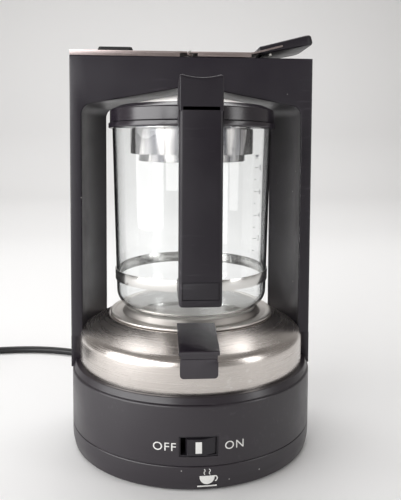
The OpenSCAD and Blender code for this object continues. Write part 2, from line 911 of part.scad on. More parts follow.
module jug_band() {
    lug_y = glass_r(band_z) + band_t;
    color(steel_bright) {
        lathe([
            [glass_r(band_z) + 0.03, band_z], [glass_r(band_z) + band_t, band_z],
            [glass_r(band_z + band_h) + band_t, band_z + band_h],
            [glass_r(band_z + band_h) + 0.03, band_z + band_h]
        ]);
        for (side = [-1, 1])
            difference() {
                translate([side * 5 - 0.5, -lug_y - 11, band_z + 0.6]) cube([1, 11.2, band_h - 1.2]);
                translate([-10, -lug_y - 6, band_z + band_h / 2]) rotate([0, 90, 0])
                    cylinder(r = 1.25, h = 20);
            }
    }
}

module band_screw() {
    color(steel_bright) translate([0, band_screw_y, band_z + band_h / 2]) rotate([0, 90, 0]) {
        translate([0, 0, -7]) cylinder(r = 2.6, h = 1.5);
        translate([0, 0, -5.5]) cylinder(r = 1.2, h = 12.4);
    }
}

module jug_collar() {
    r = glass_r_top;
    color(plastic) lathe([
        [r + 0.05, collar_z - 1.8], [collar_r - 0.4, collar_z - 1.4], [collar_r, collar_z - 0.8],
        [collar_r, lid_z - 0.6], [collar_r - 0.4, lid_z - 0.3], [lid_r - 5, lid_z - 0.3],
        [lid_r - 5, collar_z + 0.2], [r + 0.05, collar_z + 0.2]
    ]);
}

// The space above the face on which the lid's grip turns over the handle.
module turning_space(gap) {
    lathe([
        [0, lid_z + 2 + gap], [collar_r + 2.5, lid_z + 2 + gap], [collar_r + 14, handle_top + gap],
        [handle_reach + 20, handle_top + gap], [handle_reach + 20, 300], [0, 300]
    ]);
}

// Side outline of the handle: y forward from the jug's axis, z up.
module handle_outline() {
    front = handle_reach;
    back = handle_back;
    polygon(concat(
        [[-collar_r + 0.1, 246], [-collar_r + 0.1, 238.4]],
        arc(-back + 6, 232.4, 6, 90, 180),
        arc(-back + 3, handle_low + 12, 3, 180, 270, 5),
        [[-58, handle_low + 9], [-58, band_z + 0.3], [-75, band_z + 0.3], [-86, handle_low]],
        arc(-front + 4, handle_low + 4, 4, 270, 180, 5),
        [[-front, handle_top]],
        [[-collar_r + 0.1, handle_top]]
    ));
}

module jug_handle() {
    color(plastic) difference() {
        prism_x(-handle_w / 2, handle_w / 2) handle_outline();
        translate([0, 0, 236]) cylinder(r = collar_r + 0.05, h = 12);
        turning_space(0);
        translate([0, 0, band_z - 5]) cylinder(r = arm_r, h = 30);
        translate([-6.5, -arm_r - 12.5, band_z - 1]) cube([13, 14, band_h + 1.4]);
        translate([0, band_screw_y, band_z + band_h / 2]) rotate([0, 90, 0]) {
            translate([0, 0, -handle_w]) cylinder(r = 3, h = handle_w - 5.5);
            cylinder(r = 1.3, h = 8);
        }
        translate([-handle_w / 2 + 2, -handle_reach - 1, handle_low + 1.6])
            cube([handle_w - 4, 1.8, 11]);
    }
}

module handle_badge() {
    color(plastic_soft)
        translate([-handle_w / 2 + 2.2, -handle_reach + 0.2, handle_low + 1.8])
            cube([handle_w - 4.4, 0.6, 10.6]);
}

module filter_basket() {
    t = 0.8;
    flange_z = 239.4;
    color(steel_bright) lathe([
        [0, basket_low_z], [basket_low_r, basket_low_z], [basket_low_r, basket_z],
        [basket_r, basket_z], [basket_r, flange_z - 2], [basket_flange_r, flange_z - 0.6],
        [basket_flange_r, flange_z + 0.4], [basket_r - t, flange_z - 1], [basket_r - t, basket_z + t],
        [basket_low_r - t, basket_z + t], [basket_low_r - t, basket_low_z + t], [0, basket_low_z + t]
    ]);
}

module filter_screen() {
    color(steel) ring(3, basket_r - 1.2, 234, 0.8);
}

// ---- Lid ----

module lid_ring() {
    color(plastic) lathe(concat(
        [[lid_r - 5, lid_z], [lid_r, lid_z]],
        arc(lid_r - 1.2, lid_top - 4.4, 1.2, 0, 50, 4),
        [[lid_bevel_r, lid_top], [cone_r + 0.1, lid_top], [cone_r + 0.1, lid_top - 2.4],
         [cone_r - 3, lid_top - 2.4], [cone_r - 3, lid_top - 4], [lid_r - 5, lid_top - 6]]
    ));
}

module lid_cone() {
    t = 0.9;
    edge_z = lid_top - 0.4;
    color(steel_bright) lathe([
        [cone_hole, cone_top], [cone_r, edge_z], [cone_r, edge_z - 2],
        [cone_r - t, edge_z - 2], [cone_r - t, edge_z - t], [cone_hole, cone_top - t]
    ]);
}

module lid_grip() {
    half = handle_w / 2;
    front = handle_reach;
    color(plastic) difference() {
        intersection() {
            turning_space(0.6);
            prism_x(-half, half) polygon(concat(
                [[-lid_r + 2, lid_top - 1.5], [-70, 260.4], [-76, 267.6]],
                arc(-front + 5, 266.2, 5, 75, 180, 8),
                [[-front, handle_top - 10], [-lid_r + 2, handle_top - 10]]
            ));
        }
        translate([0, 0, 230]) cylinder(r = lid_r, h = 30);
        translate([0, 0, 256.4 + 80]) rotate([90, 0, 0]) translate([0, 0, 60])
            cylinder(r = 68.4, h = 60, $fn = 180);
    }
}

module lid_seal() {
    color(rubber) difference() {
        translate([0, 0, cone_top - 3.4]) cylinder(r = cone_hole - 0.02, h = 3.2);
        translate([0, 0, cone_top - 4]) cylinder(r = 2.6, h = 5);
    }
}

rubber_feet();
base_ring();
base_plate();
base_screws();
base_shell();
vessel_pillars();
boiler_vessel();
vessel_gasket();
heating_element();
element_clamps();
thermostat();
thermal_fuse();
boiler_shell();
warming_plate();
portal_frame();
portal_back_cover();
portal_screws();
riser_tube();
brew_outlet();
fill_port();
fill_duct();
top_plate();
rest_pad();
hinge_pin();
lever_buffer();
lever_strip();
lever_grip();
grip_rivets();
seal_plug();
switch_housing();
switch_rocker();
rocker_mark();
terminal_block();
strain_relief();
power_cord();
cord_coil();
cord_tie();
plug_body();
plug_pins();
catch_bracket();
catch_pin();
catch_tab();
jug_glass();
jug_band();
band_screw();
jug_collar();
jug_handle();
handle_badge();
filter_basket();
filter_screen();
lid_ring();
lid_cone();
lid_grip();
lid_seal();
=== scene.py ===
# %% [markdown]
# # A steam-pressure coffee maker, finished in Blender
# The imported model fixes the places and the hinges. This notebook gives its
# pieces their finished surfaces: turned steel, moulded plastic, blown glass
# and a mains lead. The frame is loaded first, so that most places are read
# from it. A few that it doesn't state are named values here.

# %% Load the frame
import json
import math

import bmesh
import bpy
from mathutils import Matrix, Vector


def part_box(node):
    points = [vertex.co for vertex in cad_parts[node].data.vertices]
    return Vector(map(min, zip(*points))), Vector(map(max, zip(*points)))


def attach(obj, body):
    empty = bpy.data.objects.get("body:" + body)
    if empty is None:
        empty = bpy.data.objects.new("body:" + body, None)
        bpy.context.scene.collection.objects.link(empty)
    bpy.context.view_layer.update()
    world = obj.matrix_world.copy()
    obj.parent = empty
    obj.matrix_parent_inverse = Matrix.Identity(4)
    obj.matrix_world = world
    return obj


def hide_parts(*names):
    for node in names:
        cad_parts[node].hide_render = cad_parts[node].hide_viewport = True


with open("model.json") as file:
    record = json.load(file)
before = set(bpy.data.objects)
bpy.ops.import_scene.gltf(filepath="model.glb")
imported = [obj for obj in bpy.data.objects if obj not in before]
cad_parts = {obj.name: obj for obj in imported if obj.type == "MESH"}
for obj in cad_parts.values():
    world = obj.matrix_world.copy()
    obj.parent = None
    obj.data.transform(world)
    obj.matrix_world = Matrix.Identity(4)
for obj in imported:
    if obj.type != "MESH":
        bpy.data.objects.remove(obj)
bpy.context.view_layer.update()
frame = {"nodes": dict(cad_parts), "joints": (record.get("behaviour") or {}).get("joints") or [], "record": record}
MM = 0.001
body_of_node = {node: body for body, nodes in frame["record"]["behaviour"]["bodies"].items()
                for node in nodes}
joints = {joint["name"]: joint for joint in frame["joints"]}
print("nodes:", len(body_of_node), "joints:", sorted(joints))

# %% [markdown]
# ## Camera
# A product picture is taken from the front, a little above the lid, with a
# lens that is slightly long so that the uprights stay upright. The downward
# shift does the rest: it slides the picture down without tilting the lens.

# %% Camera
camera_place = Vector((-0.0272, -0.473, 0.2204))
camera_heading = math.radians(4.13)
camera_pitch = math.radians(3.39)
camera_roll = math.radians(0.29)
focal_length = 43.6
lens_shift = -0.12

camera = bpy.data.objects.new("camera", bpy.data.cameras.new("camera"))
camera.data.lens = focal_length
camera.data.shift_y = lens_shift
camera.data.clip_start = 0.02
camera.location = camera_place
camera.rotation_euler = (
    Matrix.Rotation(-camera_heading, 3, "Z")
    @ Matrix.Rotation(math.pi / 2 - camera_pitch, 3, "X")
    @ Matrix.Rotation(camera_roll, 3, "Z")
).to_euler()
bpy.context.scene.collection.objects.link(camera)
bpy.context.scene.camera = camera
print("camera at", tuple(camera.location))

# %% [markdown]
# ## The mains lead
# A lead is a fixed length of flexible cable. It leaves the strain relief
# straight, droops to the table and runs off in one loose curve. What is left
# over is wound as for storage. A poly curve with a round bevel keeps the
# centreline exact, so its length can simply be added up. Each point holds the
# lead's radius, because a point's own radius counts in the bounds. The coil is wound by
# a loop: out, in, up and out again, so that no turn lies inside another.

# %% Route of the lead
lead_r = 3.5 * MM
free_route = [
    (-43.5, 93.3, 30), (-48, 103, 29.5), (-54, 116, 26), (-61, 130, 19.5),
    (-70, 145, 11.5), (-81, 159, 5.5), (-94, 171, 3.7), (-110, 181, 3.6),
    (-130, 190, 3.6), (-152, 196, 3.6), (-176, 198, 3.6), (-200, 196.5, 3.6),
    (-222, 193, 3.8), (-242, 189, 4.1), (-260, 186, 4.3),
]
coil_middle = Vector((-270, 140)) * MM
outer_turn_r = 43.6 * MM
inner_turn_r = 36.4 * MM
lower_layer_z = 4.3 * MM
upper_layer_z = 11.5 * MM
plug_middle = Vector((-313.5, 84)) * MM
first_turn, last_turn, turn_step = 102, 1260, 6
move_in_at, climb_at, move_out_at, move_long = 395, 690, 990, 65


def spline_point(points, index, t):
    """A point on the smooth line through the points, between index and the next."""
    last = len(points) - 1
    a, b, c, d = (points[min(max(index + k, 0), last)] for k in (-1, 0, 1, 2))
    return 0.5 * (2 * b + (c - a) * t + (2 * a - 5 * b + 4 * c - d) * t ** 2
                  + (3 * b - a - 3 * c + d) * t ** 3)


def ease(x):
    """A smooth step from 0 to 1."""
    x = min(max(x, 0.0), 1.0)
    return x * x * (3 - 2 * x)


def coil_point(degrees):
    """Where the lead is after turning this far round the coil."""
    inward = ease((degrees - move_in_at) / move_long)
    outward = ease((degrees - move_out_at) / move_long)
    upward = ease((degrees - climb_at) / move_long)
    radius = outer_turn_r + (inner_turn_r - outer_turn_r) * (inward - outward)
    height = lower_layer_z + (upper_layer_z - lower_layer_z) * upward
    angle = math.radians(degrees)
    return Vector((coil_middle.x + radius * math.cos(angle),
                   coil_middle.y + radius * math.sin(angle), height))


route = [Vector(p) * MM for p in free_route]
lead_points = [spline_point(route, i, s / 6) for i in range(len(route) - 1) for s in range(6)]
lead_points += [coil_point(angle) for angle in range(first_turn, last_turn + 1, turn_step)]
lead_points += [Vector((plug_middle.x - 0.1 * MM, y * MM, upper_layer_z)) for y in (134, 126, 118, 110)]

# %% The lead as a curve
lead_curve = bpy.data.curves.new("mains_lead", "CURVE")
lead_curve.dimensions = "3D"
lead_curve.bevel_depth = 1.0
lead_curve.bevel_resolution = 5
lead_curve.use_fill_caps = True
line = lead_curve.splines.new("POLY")
line.points.add(len(lead_points) - 1)
for point, place in zip(line.points, lead_points):
    point.co = (*place, 1)
    point.radius = lead_r
mains_lead = bpy.data.objects.new("mains_lead", lead_curve)
bpy.context.scene.collection.objects.link(mains_lead)
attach(mains_lead, "root")
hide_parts("power_cord", "cord_coil")

# %% [markdown]
# ## Studio
# A white table that curves up into a pale wall gives the soft grey behind the
# machine. Two window panes on the left and a narrow one on the right draw the
# bright upright patches on the steel. A wide panel overhead lights the lid and
# the top plate, and another washes the wall.

# %% Table and wall
sweep_outline = [(-1.6, 0.0), (1.2, 0.0), (1.7, 0.06), (2.05, 0.3), (2.2, 0.8), (2.25, 3.0)]
sweep_mesh = bmesh.new()
near_line = [sweep_mesh.verts.new((-3.5, y, z)) for y, z in sweep_outline]
near_edges = [sweep_mesh.edges.new(pair) for pair in zip(near_line, near_line[1:])]
pulled = bmesh.ops.extrude_edge_only(sweep_mesh, edges=near_edges)["geom"]
bmesh.ops.translate(sweep_mesh, vec=(7, 0, 0),
                    verts=[g for g in pulled if isinstance(g, bmesh.types.BMVert)])
bmesh.ops.recalc_face_normals(sweep_mesh, faces=sweep_mesh.faces)
sweep = bpy.data.objects.new("studio_sweep", bpy.data.meshes.new("studio_sweep"))
sweep_mesh.to_mesh(sweep.data)
sweep_mesh.free()
sweep.data.shade_smooth()
bpy.context.scene.collection.objects.link(sweep)
paper = bpy.data.materials.new("studio_paper")
paper.use_nodes = True
paper.node_tree.nodes["Principled BSDF"].inputs["Base Color"].default_value = (0.86, 0.86, 0.86, 1)
paper.node_tree.nodes["Principled BSDF"].inputs["Roughness"].default_value = 0.7
sweep.data.materials.append(paper)

# %% Window light


def window(name, place, target, width, height, power):
    """A soft rectangular light that looks at a target."""
    light = bpy.data.lights.new(name, "AREA")
    light.shape = "RECTANGLE"
    light.size = width
    light.size_y = height
    light.energy = power
    lamp = bpy.data.objects.new(name, light)
    lamp.location = place
    lamp.visible_camera = False
    lamp.rotation_euler = (Vector(target) - Vector(place)).to_track_quat("-Z", "Y").to_euler()
    bpy.context.scene.collection.objects.link(lamp)


window("left_window", (-0.95, -0.45, 0.36), (0, 0, 0.12), 0.9, 0.8, 11.0)
window("front_window", (-0.75, -1.3, 0.5), (0, 0, 0.15), 0.5, 0.8, 6.0)
window("right_window", (0.95, -0.6, 0.4), (0, 0, 0.12), 0.3, 0.7, 2.5)
window("ceiling_panel", (0.0, 0.7, 1.5), (0, 0.15, 0), 1.8, 1.0, 16.0)
window("wall_wash", (0.0, 0.9, 1.5), (0, 2.2, 0.5), 2.6, 0.6, 8.5)
world = bpy.data.worlds.new("room")
bpy.context.scene.world = world
world.use_nodes = True
world.node_tree.nodes["Background"].inputs["Color"].default_value = (1.0, 0.95, 0.91, 1)
world.node_tree.nodes["Background"].inputs["Strength"].default_value = 0.27
bpy.context.scene.view_settings.view_transform = "Standard"

# %% [markdown]
# ## Shared effects
# Three things happen on more than one finish, so each becomes a node group
# with named inputs: the fine grain of a moulding, the brushing left by a
# turning or a rolling machine, and the light wear of use. A group only puts
# out values, colours and normals. The shader stays in the material.

# %% Helpers for node trees


def wire(tree, start, end):
    """Joins an output socket to an input socket."""
    tree.links.new(start, end)


def add_node(tree, kind, **settings):
    """A new node with some of its properties or inputs set."""
    node = tree.nodes.new(kind)
    for label, value in settings.items():
        if label in node.bl_rna.properties:
            setattr(node, label, value)
        else:
            node.inputs[label.replace("_", " ")].default_value = value
    return node


def new_group(name, inputs, outputs):
    """A shader node group with named sockets. Inputs are (name, type, start value)."""
    group = bpy.data.node_groups.new(name, "ShaderNodeTree")
    for label, kind, value in inputs:
        socket = group.interface.new_socket(name=label, in_out="INPUT", socket_type=kind)
        socket.default_value = value
    for label, kind in outputs:
        group.interface.new_socket(name=label, in_out="OUTPUT", socket_type=kind)
    return group, group.nodes.new("NodeGroupInput"), group.nodes.new("NodeGroupOutput")


def math_node(tree, operation, first, second):
    """A Math node fed by sockets or numbers."""
    node = tree.nodes.new("ShaderNodeMath")
    node.operation = operation
    for socket, value in zip(node.inputs, (first, second)):
        if isinstance(value, (int, float)):
            socket.default_value = value
        else:
            wire(tree, value, socket)
    return node.outputs[0]


def remap(tree, value, low, high, to_low, to_high):
    """Maps a value from one range to another and clamps it."""
    node = tree.nodes.new("ShaderNodeMapRange")
    wire(tree, value, node.inputs["Value"])
    for label, setting in (("From Min", low), ("From Max", high), ("To Min", to_low), ("To Max", to_high)):
        if isinstance(setting, (int, float)):
            node.inputs[label].default_value = setting
        else:
            wire(tree, setting, node.inputs[label])
    return node.outputs["Result"]


def object_place(tree):
    """The place on the object, in its own coordinates."""
    return add_node(tree, "ShaderNodeTexCoord").outputs["Object"]


FLOAT, VECTOR = "NodeSocketFloat", "NodeSocketVector"

# %% Moulded grain


def make_moulded_grain():
    """The spark-eroded texture of a plastic mould, with slow changes of gloss."""
    group, start, end = new_group(
        "moulded_grain",
        [("Grain Size", FLOAT, 1800.0), ("Grain Depth", FLOAT, 0.12),
         ("Roughness Low", FLOAT, 0.4), ("Roughness High", FLOAT, 0.55)],
        [("Roughness", FLOAT), ("Normal", VECTOR)])
    place = object_place(group)
    grain = add_node(group, "ShaderNodeTexNoise", Detail=3.0, Roughness=0.6)
    wire(group, place, grain.inputs["Vector"])
    wire(group, start.outputs["Grain Size"], grain.inputs["Scale"])
    bump = add_node(group, "ShaderNodeBump", Distance=0.00012)
    wire(group, grain.outputs["Fac"], bump.inputs["Height"])
    wire(group, start.outputs["Grain Depth"], bump.inputs["Strength"])
    cloud = add_node(group, "ShaderNodeTexNoise", Scale=22.0, Detail=4.0, Roughness=0.6)
    wire(group, place, cloud.inputs["Vector"])
    gloss = remap(group, cloud.outputs["Fac"], 0.35, 0.65,
                  start.outputs["Roughness Low"], start.outputs["Roughness High"])
    wire(group, gloss, end.inputs["Roughness"])
    wire(group, bump.outputs["Normal"], end.inputs["Normal"])
    return group


# %% Light wear


def make_light_wear():
    """Hairline rubs and a few pale specks, as a mask from 0 to 1."""
    group, start, end = new_group(
        "light_wear", [("Rubs", FLOAT, 0.5), ("Specks", FLOAT, 0.5)],
        [("Rub Mask", FLOAT), ("Speck Mask", FLOAT)])
    place = object_place(group)
    turned = add_node(group, "ShaderNodeMapping", Rotation=(0.5, 0.9, 0.4), Scale=(9.0, 160.0, 60.0))
    wire(group, place, turned.inputs["Vector"])
    lines = add_node(group, "ShaderNodeTexNoise", Scale=5.0, Detail=3.0)
    wire(group, turned.outputs["Vector"], lines.inputs["Vector"])
    patch = add_node(group, "ShaderNodeTexNoise", Scale=14.0, Detail=2.0)
    wire(group, place, patch.inputs["Vector"])
    fine = remap(group, lines.outputs["Fac"], 0.60, 0.72, 0.0, 1.0)
    where = remap(group, patch.outputs["Fac"], 0.5, 0.7, 0.0, 1.0)
    rubbed = math_node(group, "MULTIPLY", math_node(group, "MULTIPLY", fine, where), start.outputs["Rubs"])
    wire(group, rubbed, end.inputs["Rub Mask"])
    cells = add_node(group, "ShaderNodeTexVoronoi", Scale=95.0, Randomness=1.0)
    wire(group, place, cells.inputs["Vector"])
    dot = remap(group, cells.outputs["Distance"], 0.03, 0.06, 1.0, 0.0)
    colour_split = add_node(group, "ShaderNodeSeparateColor")
    wire(group, cells.outputs["Color"], colour_split.inputs["Color"])
    rare = math_node(group, "GREATER_THAN", colour_split.outputs["Red"], 0.9)
    speck = math_node(group, "MULTIPLY", math_node(group, "MULTIPLY", dot, rare), start.outputs["Specks"])
    wire(group, speck, end.inputs["Speck Mask"])
    return group


# %% Turned and rolled brushing


def finish_brush(group, start, end, lines, mixed):
    """The outputs of a brushing group: bump from its lines, gloss and shade from a mix."""
    bump = add_node(group, "ShaderNodeBump", Distance=0.00006)
    wire(group, lines.outputs["Fac"], bump.inputs["Height"])
    wire(group, start.outputs["Line Depth"], bump.inputs["Strength"])
    gloss = remap(group, mixed, 0.35, 0.65,
                  start.outputs["Roughness Low"], start.outputs["Roughness High"])
    wire(group, gloss, end.inputs["Roughness"])
    wire(group, remap(group, mixed, 0.3, 0.7, 0.0, 1.0), end.inputs["Shade"])
    wire(group, bump.outputs["Normal"], end.inputs["Normal"])


def make_turned_brush():
    """Brushing that runs round the upright axis."""
    group, start, end = new_group(
        "turned_brush",
        [("Line Density", FLOAT, 2600.0), ("Line Depth", FLOAT, 0.2),
         ("Roughness Low", FLOAT, 0.24), ("Roughness High", FLOAT, 0.4)],
        [("Roughness", FLOAT), ("Shade", FLOAT), ("Normal", VECTOR)])
    place = object_place(group)
    axes = add_node(group, "ShaderNodeSeparateXYZ")
    wire(group, place, axes.inputs["Vector"])
    x, y, z = (axes.outputs[i] for i in range(3))
    angle = math_node(group, "ARCTAN2", y, x)
    radius = math_node(group, "POWER", math_node(
        group, "ADD", math_node(group, "MULTIPLY", x, x), math_node(group, "MULTIPLY", y, y)), 0.5)
    across = math_node(group, "ADD", math_node(group, "MULTIPLY", radius, 0.8), z)
    lines_at = add_node(group, "ShaderNodeCombineXYZ")
    wire(group, math_node(group, "MULTIPLY", angle, 0.9), lines_at.inputs["X"])
    wire(group, math_node(group, "MULTIPLY", across, start.outputs["Line Density"]), lines_at.inputs["Y"])
    lines = add_node(group, "ShaderNodeTexNoise", Scale=1.0, Detail=4.0, Roughness=0.7)
    wire(group, lines_at.outputs["Vector"], lines.inputs["Vector"])
    cloud = add_node(group, "ShaderNodeTexNoise", Scale=26.0, Detail=4.0)
    wire(group, place, cloud.inputs["Vector"])
    mixed = math_node(group, "ADD", math_node(group, "MULTIPLY", lines.outputs["Fac"], 0.6),
                      math_node(group, "MULTIPLY", cloud.outputs["Fac"], 0.4))
    finish_brush(group, start, end, lines, mixed)
    return group


def make_rolled_brush():
    """Straight brushing along X, as on rolled strip."""
    group, start, end = new_group(
        "rolled_brush",
        [("Line Density", FLOAT, 2200.0), ("Line Depth", FLOAT, 0.25),
         ("Roughness Low", FLOAT, 0.22), ("Roughness High", FLOAT, 0.4)],
        [("Roughness", FLOAT), ("Shade", FLOAT), ("Normal", VECTOR)])
    place = object_place(group)
    stretch = add_node(group, "ShaderNodeMapping", Scale=(0.012, 1.0, 1.0))
    wire(group, place, stretch.inputs["Vector"])
    lines = add_node(group, "ShaderNodeTexNoise", Detail=4.0, Roughness=0.7)
    wire(group, stretch.outputs["Vector"], lines.inputs["Vector"])
    wire(group, start.outputs["Line Density"], lines.inputs["Scale"])
    finish_brush(group, start, end, lines, lines.outputs["Fac"])
    return group


def make_standing_bands():
    """Upright light and dark bands round a polished cup, as its walls mirror the room."""
    group, start, end = new_group(
        "painted_reflection_bands", [("Band Count", FLOAT, 5.0), ("Ripple", FLOAT, 12.0)], [("Painted Reflection Mask", FLOAT)])
    place = object_place(group)
    axes = add_node(group, "ShaderNodeSeparateXYZ")
    wire(group, place, axes.inputs["Vector"])
    angle = math_node(group, "ARCTAN2", axes.outputs["Y"], axes.outputs["X"])
    spot = add_node(group, "ShaderNodeCombineXYZ")
    wire(group, math_node(group, "MULTIPLY", angle, start.outputs["Band Count"]), spot.inputs["X"])
    wire(group, math_node(group, "MULTIPLY", axes.outputs["Z"], start.outputs["Ripple"]), spot.inputs["Y"])
    noise = add_node(group, "ShaderNodeTexNoise", Scale=1.0, Detail=2.0)
    wire(group, spot.outputs["Vector"], noise.inputs["Vector"])
    wire(group, remap(group, noise.outputs["Fac"], 0.42, 0.58, 0.0, 1.0), end.inputs["Painted Reflection Mask"])
    return group


PAINTED_REFLECTION_BANDS = make_standing_bands()
GRAIN = make_moulded_grain()
WEAR = make_light_wear()
TURNED = make_turned_brush()
ROLLED = make_rolled_brush()
print("node groups:", [g.name for g in bpy.data.node_groups])

# %% [markdown]
# ## Finishes
# Every finish is one Principled shader. Plain numbers such as the metal's
# index or the coat sit on the shader itself, and only what changes over the
# surface is wired in.

# %% Material makers


def new_finish(name, **sockets):
    """An empty material with its shader's plain values set."""
    material = bpy.data.materials.new(name)
    material.use_nodes = True
    shader = material.node_tree.nodes["Principled BSDF"]
    for label, value in sockets.items():
        shader.inputs[label.replace("_", " ")].default_value = value
    return material, material.node_tree, shader


def place_group(tree, group, **values):
    """An instance of a node group with its inputs set."""
    node = tree.nodes.new("ShaderNodeGroup")
    node.node_tree = group
    for label, value in values.items():
        node.inputs[label.replace("_", " ")].default_value = value
    return node


def blend_colours(tree, mask, first, second):
    """A colour between two, by a mask. Each may be a colour or a socket."""
    mix = tree.nodes.new("ShaderNodeMix")
    mix.data_type = "RGBA"
    wire(tree, mask, mix.inputs["Factor"])
    for index, value in ((6, first), (7, second)):
        if isinstance(value, tuple):
            mix.inputs[index].default_value = (*value, 1)
        else:
            wire(tree, value, mix.inputs[index])
    return mix.outputs[2]


def worn_surface(tree, shader, surface, colours, rubs, specks):
    """Wires in gloss, grain and a colour with rubs and specks. Colours are base, rub and speck."""
    base, rub_colour, speck_colour = colours
    wear = place_group(tree, WEAR, Rubs=rubs, Specks=specks)
    rubbed = blend_colours(tree, wear.outputs["Rub Mask"], base, rub_colour)
    dusty = blend_colours(tree, wear.outputs["Speck Mask"], rubbed, speck_colour)
    wire(tree, dusty, shader.inputs["Base Color"])
    wire(tree, surface.outputs["Roughness"], shader.inputs["Roughness"])
    wire(tree, surface.outputs["Normal"], shader.inputs["Normal"])


def moulding(name, colour, rub_colour, grain_size=1700.0, grain_depth=0.14, gloss=(0.36, 0.5),
             rubs=0.5, specks=0.7, shine=0.4):
    """Satin moulded plastic with hairline rubs and a little dust."""
    material, tree, shader = new_finish(name, Specular_IOR_Level=shine)
    grain = place_group(tree, GRAIN, Grain_Size=grain_size, Grain_Depth=grain_depth,
                        Roughness_Low=gloss[0], Roughness_High=gloss[1])
    worn_surface(tree, shader, grain, (colour, rub_colour, (0.55, 0.54, 0.52)), rubs, specks)
    return material


def brushed(name, group, dark, light, gloss, depth, density, rubs=0.35, specks=0.6):
    """Brushed steel. The shade follows the brushing lines."""
    material, tree, shader = new_finish(name, Metallic=1.0)
    lines = place_group(tree, group, Line_Density=density, Line_Depth=depth,
                        Roughness_Low=gloss[0], Roughness_High=gloss[1])
    shade = blend_colours(tree, lines.outputs["Shade"], dark, light)
    worn_surface(tree, shader, lines, (shade, (0.86, 0.85, 0.83), (0.9, 0.9, 0.88)), rubs, specks)
    return material


def printed(name, colour, roughness):
    """Screen-printed ink, a little uneven where it was laid thin."""
    material, tree, shader = new_finish(name, Roughness=roughness)
    place = object_place(tree)
    ink = add_node(tree, "ShaderNodeTexNoise", Scale=1400.0, Detail=2.0)
    wire(tree, place, ink.inputs["Vector"])
    thin = tuple(c * 0.82 for c in colour)
    wire(tree, blend_colours(tree, ink.outputs["Fac"], thin, colour), shader.inputs["Base Color"])
    return material


# %% The finishes of this machine
base_black = moulding("base_black", (0.018, 0.014, 0.019), (0.06, 0.052, 0.062),
                      gloss=(0.28, 0.42), shine=0.6)
portal_black = moulding("portal_black", (0.012, 0.009, 0.015), (0.055, 0.047, 0.060),
                        gloss=(0.34, 0.48), rubs=0.6, shine=0.5)
handle_black = moulding("handle_black", (0.011, 0.0085, 0.013), (0.06, 0.052, 0.062),
                        grain_depth=0.2, gloss=(0.36, 0.52), rubs=0.7)
lid_black = moulding("lid_black", (0.017, 0.013, 0.019), (0.05, 0.045, 0.052), grain_depth=0.05,
                     gloss=(0.16, 0.26), rubs=0.6, shine=0.7)
inner_black = moulding("inner_black", (0.016, 0.014, 0.018), (0.045, 0.042, 0.048), specks=0.0)
rubber_black = moulding("rubber_black", (0.015, 0.015, 0.016), (0.04, 0.04, 0.04),
                        grain_size=900.0, grain_depth=0.25, gloss=(0.6, 0.75), specks=0.3)
lead_black = moulding("lead_black", (0.013, 0.013, 0.014), (0.05, 0.05, 0.05),
                      grain_size=1200.0, grain_depth=0.08, gloss=(0.32, 0.42), specks=0.2)
boiler_steel = brushed("boiler_steel", TURNED, (0.50, 0.46, 0.43), (0.68, 0.64, 0.61),
                       (0.2, 0.32), 0.14, 2400.0)
plate_steel = brushed("plate_steel", TURNED, (0.52, 0.49, 0.46), (0.7, 0.67, 0.64),
                      (0.34, 0.46), 0.14, 1500.0)
cone_steel = brushed("cone_steel", TURNED, (0.86, 0.84, 0.82), (0.96, 0.94, 0.92),
                     (0.48, 0.6), 0.12, 1800.0, specks=1.0)
strip_steel = brushed("strip_steel", ROLLED, (0.44, 0.36, 0.35), (0.62, 0.54, 0.53),
                      (0.24, 0.4), 0.3, 2400.0)
band_steel = brushed("band_steel", TURNED, (0.62, 0.61, 0.59), (0.78, 0.77, 0.75),
                     (0.14, 0.24), 0.1, 2600.0, rubs=0.2)
fixing_steel = brushed("fixing_steel", ROLLED, (0.5, 0.49, 0.46), (0.66, 0.65, 0.62),
                       (0.26, 0.38), 0.12, 2000.0, specks=0.0)
cast_alloy = brushed("cast_alloy", ROLLED, (0.6, 0.6, 0.61), (0.72, 0.72, 0.73),
                     (0.42, 0.55), 0.3, 600.0, specks=0.0)
heater_sheath = brushed("heater_sheath", ROLLED, (0.2, 0.17, 0.15), (0.38, 0.33, 0.29),
                        (0.4, 0.55), 0.2, 700.0, specks=0.0)
nickel = brushed("nickel", ROLLED, (0.66, 0.64, 0.6), (0.76, 0.74, 0.7), (0.12, 0.2), 0.05, 1500.0,
                 specks=0.0)
white_ink = printed("white_ink", (0.78, 0.78, 0.76), 0.55)
grey_ink = printed("grey_ink", (0.36, 0.37, 0.39), 0.6)
tie_plastic = moulding("tie_plastic", (0.7, 0.7, 0.68), (0.8, 0.8, 0.78), specks=0.0)
fired_ceramic = moulding("fired_ceramic", (0.74, 0.70, 0.62), (0.6, 0.56, 0.5), grain_size=800.0,
                         gloss=(0.6, 0.8), specks=0.0)

# %% Polished cup


def make_polished_cup():
    """Deep-drawn steel, polished, with painted reflection: dark and light upright bands in its colour."""
    material, tree, shader = new_finish("basket_steel_painted_reflection", Metallic=1.0)
    bands = place_group(tree, PAINTED_REFLECTION_BANDS, Band_Count=4.2, Ripple=9.0)
    lines = place_group(tree, TURNED, Line_Density=900.0, Line_Depth=0.05,
                        Roughness_Low=0.10, Roughness_High=0.18)
    # The two colours are painted reflection: dark and light bands of the mirrored room.
    shade = blend_colours(tree, bands.outputs["Painted Reflection Mask"], (0.10, 0.10, 0.115), (0.62, 0.60, 0.59))
    wire(tree, shade, shader.inputs["Base Color"])
    wire(tree, lines.outputs["Roughness"], shader.inputs["Roughness"])
    wire(tree, lines.outputs["Normal"], shader.inputs["Normal"])
    return material


basket_steel_painted_reflection = make_polished_cup()

# %% Clear glass


